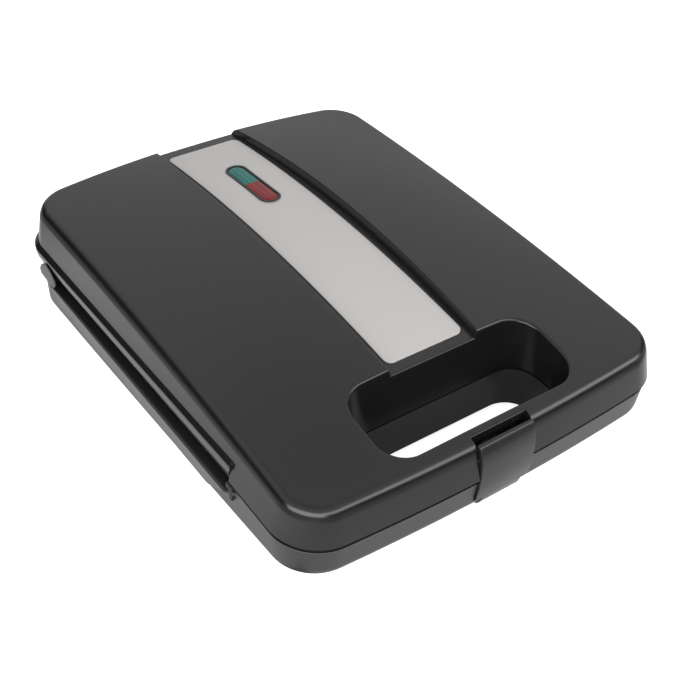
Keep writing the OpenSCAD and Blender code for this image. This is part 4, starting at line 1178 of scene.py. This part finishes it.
@dataclass
class Base:
    """The lower housing: tray with a rounded foot edge, sills, handle opening, notch and hinge ears."""

    rebate: tuple[float, float] = (1.5, 2.0)

    def shell(self) -> Form:
        """Outside of the base.

        Rings turn up from the level underside on a quarter circle and rise to a rebate under the seam.
        """
        rings = []
        for a in quarter(12):
            p = outline(S.base_wall_inset + S.base_round * (1 - math.sin(a)), S.base_side_bow)
            rings.append(at(p, base_floor(p[:, 1]) + S.base_round * (1 - math.cos(a))))
        rim = -S.lid_gap - self.rebate[1]
        last, top = rings[-1], at(outline(S.base_inset), rim - 0.25)
        rings += [last + (top - last) * t for t in (0.33, 0.66, 0.96)]
        rings += [top, at(outline(S.base_inset + 0.25), rim), at(outline(S.base_inset + self.rebate[0]), rim)]
        rings.append(at(outline(S.base_inset + self.rebate[0]), -S.lid_gap))
        return Form.loft(rings)

    def room(self) -> Form:
        """Inside of the base."""
        r = S.base_round - S.wall
        rings = []
        for a in quarter(5):
            p = outline(S.base_wall_inset + S.wall + r * (1 - math.sin(a)), S.base_side_bow)
            rings.append(at(p, base_floor(p[:, 1]) + S.floor_t + r * (1 - math.cos(a))))
        rings.append(at(outline(S.base_inset + S.wall), 2))
        return Form.loft(rings)

    def grip(self, g: float = 0.0) -> Form:
        """Handle opening below the seam, grown by g, its lower rim eased outwards."""
        low_z = float(base_floor(np.array(S.grip_rear))) - 8

        def plan(h: float, y0: float, y1: float, o: float) -> np.ndarray:
            return round_rect(-h - g - o, h + g + o, y0 - g - o, y1 + g + o, S.grip_corner + g + o)

        low = plan(S.grip_seam_half + 1.2, S.grip_front + 0.4, S.grip_seam_rear + 1.4, 0)
        high = plan(S.grip_seam_half, S.grip_front + 1.6, S.grip_seam_rear, 0)
        n = min(len(low), len(high))
        return Form.loft([at(resampled(low, n), low_z), at(resampled(high, n), 3)])

    def notch(self, g: float = 0.0) -> list[Form]:
        """Recess in the front that the latch hangs in, wide above and narrow below."""
        wide, narrow = S.latch_half + S.latch_gap + g, S.tongue_half + S.latch_gap + g
        r1, r2 = S.notch_wide_rear + g, S.notch_rear + g
        return [
            Form.across([[-190, S.notch_step - g], [r1, S.notch_step - g], [r1, 12.5], [-190, 12.5]], -wide, wide),
            Form.across([[-190, -60], [r2, -60], [r2, 20], [-190, 20]], -narrow, narrow),
        ]

    def sill(self) -> Form:
        """Sill under the side slot: a slanting ledge that runs out at both ends, its upper edge eased."""
        root = S.body_w / 2 - S.base_inset - 1.6
        mid = (S.slot_front + S.slot_rear) / 2

        def ring(lean: float, drop: float) -> np.ndarray:
            out = S.body_w / 2 + S.sill_out - lean
            back = S.sill_sweep if drop > S.sill_low / 2 else 0.0
            y0, y1 = S.slot_front, S.slot_rear
            p = np.array([[root, y0 - 8 + back], [out - 1.2, y0 - 0.6 + back], [out - 0.3, y0 + 0.3 + back],
                          [out, y0 + 2.2 + back], [out, mid], [out, y1 - 1], [out - 0.4, y1 + 1.2], [root, y1 + 9]])
            return at(p, line(S.slot_sill, p[:, 1]) - drop)

        return Form.loft([ring(S.sill_lean, S.sill_low), ring(0.9, 2.2), ring(0.35, 1.4), ring(0, 0.8),
                          ring(0.15, 0.35), ring(0.8, 0)])

    def post(self) -> Form:
        """Short post that closes the slot's front end, its edges eased."""
        x, y = S.body_w / 2 + 0.9, S.slot_front

        def ring(e: float, z: float) -> np.ndarray:
            return at(round_rect(x - 5, x - e, y - 3.2 + e, y + 2.6 - e, 1.4 - e, arc=5), z)

        return Form.loft([ring(0.6, -12.4), ring(0.1, -11.2), ring(0, -10), ring(0, -1.5), ring(0.15, -1.15),
                          ring(0.5, -0.95)])

    def tab(self) -> tuple[Form, Form]:
        """Leaf that closes the slot's rear end, an oval plate that stands upright outside the rail, and its root."""
        x = S.body_w / 2
        plan = np.array([[142.8, -11.0], [140.2, -6.4], [134.6, -1.8], [129.5, 0.8], [123.7, -0.6], [119.6, -2.9],
                         [116.4, -5.4], [117.0, -9.5], [121.4, -14.1], [126.3, -14.3], [134.6, -14.6], [141.0, -14.1]])
        middle = plan.mean(axis=0)

        def ring(out: float, scale: float) -> np.ndarray:
            p = middle + (resampled(plan, 36) - middle) * scale
            return np.column_stack([np.full(len(p), x + out), p])

        leaf = Form.loft([ring(2.3, 0.97), ring(2.55, 1), ring(2.8, 0.97), ring(2.95, 0.9), ring(3.0, 0.7)])
        root = Form.across([[128, -14.2], [141, -14.0], [140, -8.4], [128, -8.4]], x - 5, x + 2.7)
        return leaf, root

    def slot(self) -> Form:
        """The dark slot between sill and rail."""
        y0, y1 = S.slot_front, S.slot_rear
        return Form.across([[y0, line(S.slot_sill, y0)], [y1, line(S.slot_sill, y1)], [y1, 6], [y0, 6]],
                           S.body_w / 2 - 12, S.body_w / 2 + 8)

    def rear_cut(self) -> Form:
        """Clears the rear edge for the lid's rail."""
        y = S.slot_rear - 0.5
        return Form.across([[y, line(S.rail_bottom, S.slot_rear) - 1.2], [300, line(S.rail_bottom, 300) - 1.2],
                            [300, 9], [y, 9]], -200, 200)

    def ears(self) -> Form:
        """The hinge ears behind the rear wall, four forms."""
        y, z, r = S.hinge_y, S.hinge_z, S.knuckle_r
        turn = [[y + r * math.cos(a), z + r * math.sin(a)] for a in np.linspace(-1.0, 2.7, 26)]
        profile = [[y - 14, z - 24], [y + r * 0.4, z - 8]] + turn + [[y - 6, z - 2.2], [y - 14, z - 2.2]]
        forms = []
        for s in (-1, 1):
            x0 = S.hinge_x + s * (S.knuckle_l / 2 + S.knuckle_gap + S.ear_l / 2) - S.ear_l / 2
            forms.append(both(Form.across(profile, x0, x0 + S.ear_l)))
        return joined(*forms)

    def vents(self) -> list[Form]:
        """Rows of long slots through the floor."""
        return [Form.loft([at(round_rect(x - 1.5, x + 1.5, 44.5, 79.5, 1.45, arc=6, step=9), z) for z in (-80.0, -20.0)])
                for x in range(-48, 49, 12)]

    def build(self) -> None:
        """Makes the piece."""
        outer = Solid(self.shell())
        outer = outer + both(self.sill())
        room = Solid(self.room()) - self.grip(S.wall)
        for cut in self.notch(2.2):
            room = room - cut
        base = outer - room
        posts = [Form.rod((x, y, float(base_floor(np.array(y))) + 1), (x, y, -8.5), 5.6) for x, y in S.screws]
        base = base + joined(*posts) + self.ears()
        g = (S.gland_x, S.gland_z)
        base = base + Form.rod((g[0], 164.6, g[1]), (g[0], 172.6, g[1]), S.gland_r + 3)
        base = base - self.grip()
        for cut in self.notch():
            base = base - cut
        base = base - both(self.slot()) - self.rear_cut()
        leaf, root = self.tab()
        base = base + both(root) + both(leaf) + both(self.post())
        heads = [Form.rod((x, y, -80), (x, y, -11.5), 4.1, 40) for x, y in S.screws]
        shanks = [Form.rod((x, y, -20), (x, y, 10), 2.25, 32) for x, y in S.screws]
        base = base - joined(*heads) - joined(*shanks) - joined(*self.vents())
        pin = Form.rod((40, S.hinge_y, S.hinge_z), (130, S.hinge_y, S.hinge_z), S.hinge_pin_d / 2)
        base = base - both(pin) - Form.rod((g[0], 120, g[1]), (g[0], 210, g[1]), S.gland_r)
        place("base_shell", base.taken(), Body.BASE, Finish.BASE.material, Finish.BASE.slot, ("base_housing",))


# Plates and latch


@dataclass
class Plate:
    """A cooking plate: eight triangular pockets between ridges, inside a raised flange."""

    name: str
    node: str
    body: Body
    upper: bool
    cells: int = 168

    def depth(self, x: np.ndarray, y: np.ndarray, inset: float, h: float, ease: float) -> np.ndarray:
        """Depth of the pockets at plan points about the plate's middle.

        Each quadrant is a square cell cut by its diagonal. The distance to the nearest cell edge or
        diagonal, less the ridge, climbs the drafted wall, and a smooth step rounds both its ends.

        Args:
            x: distance across.
            y: distance along.
            inset: half width of the ridges.
            h: depth of the floor.
            ease: extra width of the rounding.
        Returns:
            The depth, 0 on the ridges.
        """
        ax, ay = np.abs(x), np.abs(y)
        edge = np.minimum(np.minimum(ax, S.cell - ax), np.minimum(ay, S.cell - ay))
        diagonal = np.abs(ax - ay) / math.sqrt(2)
        gap = np.minimum(edge, diagonal) - inset
        t = np.clip((gap + ease * 0.35) / (5.0 + ease * 0.7), 0, 1)
        return h * (0.35 * t + 0.65 * t * t * (3 - 2 * t))

    def build(self) -> None:
        """Makes the piece: two height fields over one grid, stitched round the edge."""
        n = self.cells
        half_l = (S.plate_rear - S.plate_front) / 2
        mid = (S.plate_rear + S.plate_front) / 2
        v = np.linspace(-1, 1, n)
        y = v * half_l
        over = np.clip(np.abs(y) - (half_l - S.plate_corner), 0, S.plate_corner)
        reach = S.plate_half - S.plate_corner + np.sqrt(np.maximum(S.plate_corner**2 - over**2, 0.6))
        u = np.linspace(-1, 1, n)
        gx, gy = np.meshgrid(u, y)
        gx = gx * reach[:, None]
        rim = np.minimum(S.plate_half - np.abs(gx), half_l - np.abs(gy))
        groove = 0.9 * np.exp(-(((rim - 4.2) / 1.2) ** 4))
        lip = 0.5 * np.clip(1 - rim / 0.8, 0, 1) ** 2
        top = -S.plate_gap - self.depth(gx, gy, S.ridge, S.pocket_h, 2.0) - groove - lip
        low = -S.plate_gap - S.plate_t - self.depth(gx, gy, S.ridge - S.bulge_t, S.pocket_h + S.bulge_t - S.plate_t, 0.5)
        low = np.minimum(low, top - 1.6)
        flip = -1.0 if self.upper else 1.0
        sheet = lambda z: np.stack([gx, gy + mid, z * flip], -1).reshape(-1, 3)
        verts = np.concatenate([sheet(top), sheet(low)])
        up = grid_faces(n, n)
        down = up[:, ::-1] + n * n
        edge = border(n, n)
        nxt = np.roll(edge, -1)
        wall = np.stack([edge + n * n, nxt + n * n, nxt, edge], 1)
        faces = np.concatenate([up, down, wall])
        if self.upper:
            faces = faces[:, ::-1]
        plate = Solid(Form(verts, [tuple(f) for f in faces.tolist()]))
        if self.upper:
            plate = plate - joined(*[Form.rod((x, yy, -1), (x, yy, S.plate_gap + 2.5), 3.8, 32) for x, yy in S.screws])
            plate = plate - joined(*[Form.rod((x, yy, -1), (x, yy, 20), 2.2, 24) for x, yy in S.screws])
        place(self.name, plate.taken(), self.body, Finish.NONSTICK.material, Finish.NONSTICK.slot, (self.node,), sharp=50)


@dataclass
class Latch:
    """The curved latch on its cross pin."""

    face: list[tuple[float, float]] = field(default_factory=lambda: [
        (-169.2, 22.4), (-170.6, 22.8), (-172.0, 21.9), (-174.0, 18.2), (-175.5, 12.5), (-176.1, 6.0), (-176.3, -1.0),
        (-176.0, -8.0), (-175.2, -14.2), (-174.8, -16.4)])
    back: list[tuple[float, float]] = field(default_factory=lambda: [
        (-172.1, -16.4), (-172.8, -9.0), (-173.2, -2.0), (-173.2, 4.0), (-172.6, 10.0), (-171.2, 15.6),
        (-169.4, 19.6), (-168.4, 21.2)])
    tongue: list[tuple[float, float]] = field(default_factory=lambda: [
        (-175.8, -9.0), (-175.2, -14.2), (-174.3, -18.6), (-172.8, -22.6), (-170.9, -25.2), (-168.8, -26.2)])
    tongue_back: list[tuple[float, float]] = field(default_factory=lambda: [
        (-168.5, -23.6), (-169.9, -22.0), (-171.1, -19.4), (-172.1, -15.6), (-172.9, -9.0)])

    def plate(self, front: list, back: list, half: float, ease: float) -> Form:
        """A curved plate across the body with eased ends.

        The outline is a smooth curve through the front points and another through the back ones. Towards
        each end the sections shrink by a quarter circle.

        Args:
            front: [y, z] points of the outer side.
            back: [y, z] points of the inner side.
            half: half width.
            ease: radius of the end rounding.
        Returns:
            A closed form.
        """
        profile = np.concatenate([curve(front, 6), curve(back, 4)])
        gap = np.roll(profile, -1, 0) - np.roll(profile, 1, 0)
        normal = np.stack([gap[:, 1], -gap[:, 0]], 1)
        normal /= np.linalg.norm(normal, axis=1, keepdims=True)
        area = np.sum(profile[:, 0] * np.roll(profile[:, 1], -1) - profile[:, 1] * np.roll(profile[:, 0], -1))
        normal *= math.copysign(1, area)
        stations = [(-half + ease * (1 - math.sin(a)), ease * (1 - math.cos(a))) for a in quarter(5)[::-1]]
        stations += [(-x, k) for x, k in stations[::-1]]
        rings = [np.column_stack([np.full(len(profile), x), profile - normal * k]) for x, k in stations]
        return Form.loft(rings)

    def build(self) -> None:
        """Makes the piece."""
        latch = Solid(self.plate(self.face, self.back, S.latch_half, 0.45))
        latch = latch + self.plate(self.tongue, self.tongue_back, S.tongue_half, 0.4)
        y, z = S.latch_y, S.latch_z
        for s in (-11, 11):
            boss = [[y + 3.5 * math.cos(a), z + 3.5 * math.sin(a)] for a in np.linspace(-math.pi / 2, math.pi / 2, 18)]
            latch = latch + Form.across(boss + [[-174.6, z + 3.4], [-174.6, z - 3.4]], s - 4, s + 4)
        for x in (-18.4, -0.8, 16.8):
            latch = latch + Form.across([[-174.4, -1.5], [-172.6, -6], [-172.2, 2], [-171.6, 12], [-174.2, 12]], x, x + 1.6)
        latch = latch - Form.rod((-30, y, z), (30, y, z), S.latch_pin_d / 2 + 0.05)
        place("latch_shell", latch.taken(), Body.LATCH, Finish.LATCH.material, Finish.LATCH.slot, ("latch",), sharp=28)


def curve(points: list, steps: int) -> np.ndarray:
    """Smooth curve through points, by Catmull-Rom pieces."""
    p = np.asarray(points, float)
    p = np.vstack([2 * p[0] - p[1], p, 2 * p[-1] - p[-2]])
    out = []
    for k in range(1, len(p) - 2):
        for t in np.arange(steps) / steps:
            out.append(0.5 * (2 * p[k] + (p[k + 1] - p[k - 1]) * t
                              + (2 * p[k - 1] - 5 * p[k] + 4 * p[k + 1] - p[k + 2]) * t**2
                              + (3 * p[k] - p[k - 1] - 3 * p[k + 1] + p[k + 2]) * t**3))
    out.append(p[-2])
    return np.array(out)


# Stage, lights, camera


@dataclass
class Softbox:
    """A rectangular area lamp aimed at a point, in model metres."""

    name: str
    place: tuple[float, float, float]
    size: tuple[float, float]
    watts: float
    aim: tuple[float, float, float] = (0.0, 0.0, 0.04)
    tint: tuple[float, float, float] = (1.0, 1.0, 1.0)

    def build(self) -> None:
        """Makes the lamp."""
        data = bpy.data.lights.new(self.name, "AREA")
        data.shape = "RECTANGLE"
        data.size, data.size_y = self.size
        data.energy = self.watts
        data.color = self.tint
        obj = bpy.data.objects.new(self.name, data)
        obj.location = self.place
        obj.rotation_euler = (Vector(self.aim) - Vector(self.place)).to_track_quat("-Z", "Y").to_euler()
        bpy.context.scene.collection.objects.link(obj)


@dataclass
class Stage:
    """Floor, world and lamps."""

    lamps: list[Softbox] = field(default_factory=lambda: [
        Softbox("lamp_front_left", (-0.66, -0.55, 0.27), (1.1, 0.4), 7.5),
    ])
    floor_near: float = 1.0
    floor_far: float = 0.3
    strip: float = 0.35
    overhead: float = -0.3
    horizon: float = 0.64
    rim_light: float = 4.5
    side_light: float = 0.9

    def floor(self) -> None:
        """A wide pale floor that the camera sees as white, keeping the object's shadow.

        Reflections see a painted glow on it: bright beside the object and darker further out, by the distance from a
        rectangle under the object, dark right under it as a painted shadow, with a painted strip of light off the left
        side.
        """
        n = 25
        t = np.linspace(-6, 6, n)
        x, y = np.meshgrid(t, t)
        verts = np.stack([x, y, np.zeros_like(x)], -1).reshape(-1, 3)
        mesh = bpy.data.meshes.new("floor")
        mesh.from_pydata(verts.tolist(), [], grid_faces(n, n).tolist())
        obj = bpy.data.objects.new("floor", mesh)
        bpy.context.scene.collection.objects.link(obj)
        g = Paint("floor")
        seen = g.node("ShaderNodeMath", [g.ray("Camera"), g.ray("Transmission")], operation="MAXIMUM")
        g.feed(Base_Color=(0.82, 0.82, 0.82, 1), Roughness=0.9, Specular_IOR_Level=0.0,
               Emission_Color=(1, 1, 1, 1), Emission_Strength=seen * 0.85)
        beyond = []
        for axis, half in ((0, 0.13), (1, 0.165)):
            place_on = g.node("ShaderNodeSeparateXYZ", [g.coords], output=axis)
            away = g.node("ShaderNodeMath", [place_on], operation="ABSOLUTE") - half
            beyond.append(g.node("ShaderNodeMath", [away, 0.0], operation="MAXIMUM"))
        distance = (beyond[0] * beyond[0] + beyond[1] * beyond[1]) ** 0.5
        across = g.node("ShaderNodeSeparateXYZ", [g.coords], output=0)
        # painted strip of light on the floor off the object's left side, seen only in reflections
        strip = across.clipped(-0.19, -0.21) * across.clipped(-0.3, -0.26) * self.strip
        # painted reflection glow, falling to a tenth under the object as a painted shadow
        bright = distance.clipped(0.08, 0.19, self.floor_near, self.floor_far) * distance.clipped(-0.002, 0.006, 0.1, 1.0)
        glow = g.node("ShaderNodeEmission", {"Strength": bright + strip})
        g.mixed(g.ray("Glossy"), Value(g, g.shader.outputs[0]), glow, "Material Output")
        mesh.materials.append(g.material)

    def world(self) -> None:
        """A pale room, darker round the horizon except towards the rear right, with a low strip light in front.

        The camera sees plain white.
        """
        world = bpy.data.worlds.new("studio")
        world.use_nodes = True
        bpy.context.scene.world = world
        g = Graph(world.node_tree, "Generated")
        height = g.node("ShaderNodeSeparateXYZ", [g.coords], output=2)
        low = 1 - height.clipped(0.34, 0.6)
        dark = low * (1 - g.lobe(37, 10, 32, 50)) * self.horizon
        rim = height.clipped(0.27, 0.34) * height.clipped(0.62, 0.54) * g.lobe(155, 25, 30, 42) * self.rim_light
        side = height.clipped(0.2, 0.1) * g.lobe(112, 0, 18, 24) * self.side_light
        level = 0.66 + height.clipped(0.3, 0.78) * 0.3 - dark + side + height.clipped(0.83, 0.93) * self.overhead + rim
        share = g.ray("Glossy") * 0.05 + 0.95
        lit = g.node("ShaderNodeBackground", {"Color": (1, 1, 1, 1), "Strength": level * share})
        plain = g.node("ShaderNodeBackground", {"Color": (1, 1, 1, 1), "Strength": 1.0})
        seen = g.node("ShaderNodeMath", [g.ray("Camera"), g.ray("Transmission")], operation="MAXIMUM")
        g.mixed(seen, lit, plain, "World Output")

    def build(self) -> None:
        """Makes floor, world and lamps."""
        self.floor()
        self.world()
        for lamp in self.lamps:
            lamp.build()
        bpy.context.scene.view_settings.view_transform = "Standard"


@dataclass(frozen=True)
class PhotoCamera:
    """The photograph's camera, solved in the seam frame in millimetres."""

    place: tuple[float, float, float] = (-329.8818, -454.0154, 441.4889)
    azimuth: float = 0.6463783
    elevation: float = 0.7022067
    roll: float = 0.0548826
    focal_px: float = 1101.1589
    sensor: float = 36.0

    def build(self) -> None:
        """Makes the camera and the scene's active one."""
        a, e, r = self.azimuth, self.elevation, self.roll
        ahead = Vector((math.sin(a) * math.cos(e), math.cos(a) * math.cos(e), -math.sin(e)))
        right = Vector((math.cos(a), -math.sin(a), 0))
        up = right.cross(ahead)
        x = math.cos(r) * right + math.sin(r) * up
        y = -math.sin(r) * right + math.cos(r) * up
        turn = Matrix((x, y, -ahead)).transposed().to_4x4()
        world = S.to_model() @ Matrix.Translation(self.place) @ turn
        data = bpy.data.cameras.new("camera")
        data.sensor_width = self.sensor
        data.lens = self.sensor * self.focal_px / PHOTO_SIZE
        data.clip_start, data.clip_end = 0.02, 60
        cam = bpy.data.objects.new("camera", data)
        bpy.context.scene.collection.objects.link(cam)
        place_at, spin, _ = world.decompose()
        cam.location = place_at
        cam.rotation_euler = spin.to_euler()
        bpy.context.scene.camera = cam


# Main


def dress_cad() -> None:
    """Gives every CAD node its finish."""
    for name, node in frame["nodes"].items():
        finish = CAD_FINISHES[name]
        for k in range(len(node.data.materials)):
            node.data.materials[k] = finish.material


def main() -> None:
    """Builds the dressed part and its stage."""
    logging.basicConfig(level=logging.INFO)
    PhotoCamera().build()
    Stage().build()
    dress_cad()
    pieces = [Base(), Lid(), Trim(), LampWindow(), Latch(),
              Plate("plate_low", "lower_plate", Body.BASE, False), Plate("plate_high", "upper_plate", Body.LID, True)]
    for piece in pieces:
        piece.build()
        log.info("made %s", type(piece).__name__)


if __name__ == "__main__":
    main()
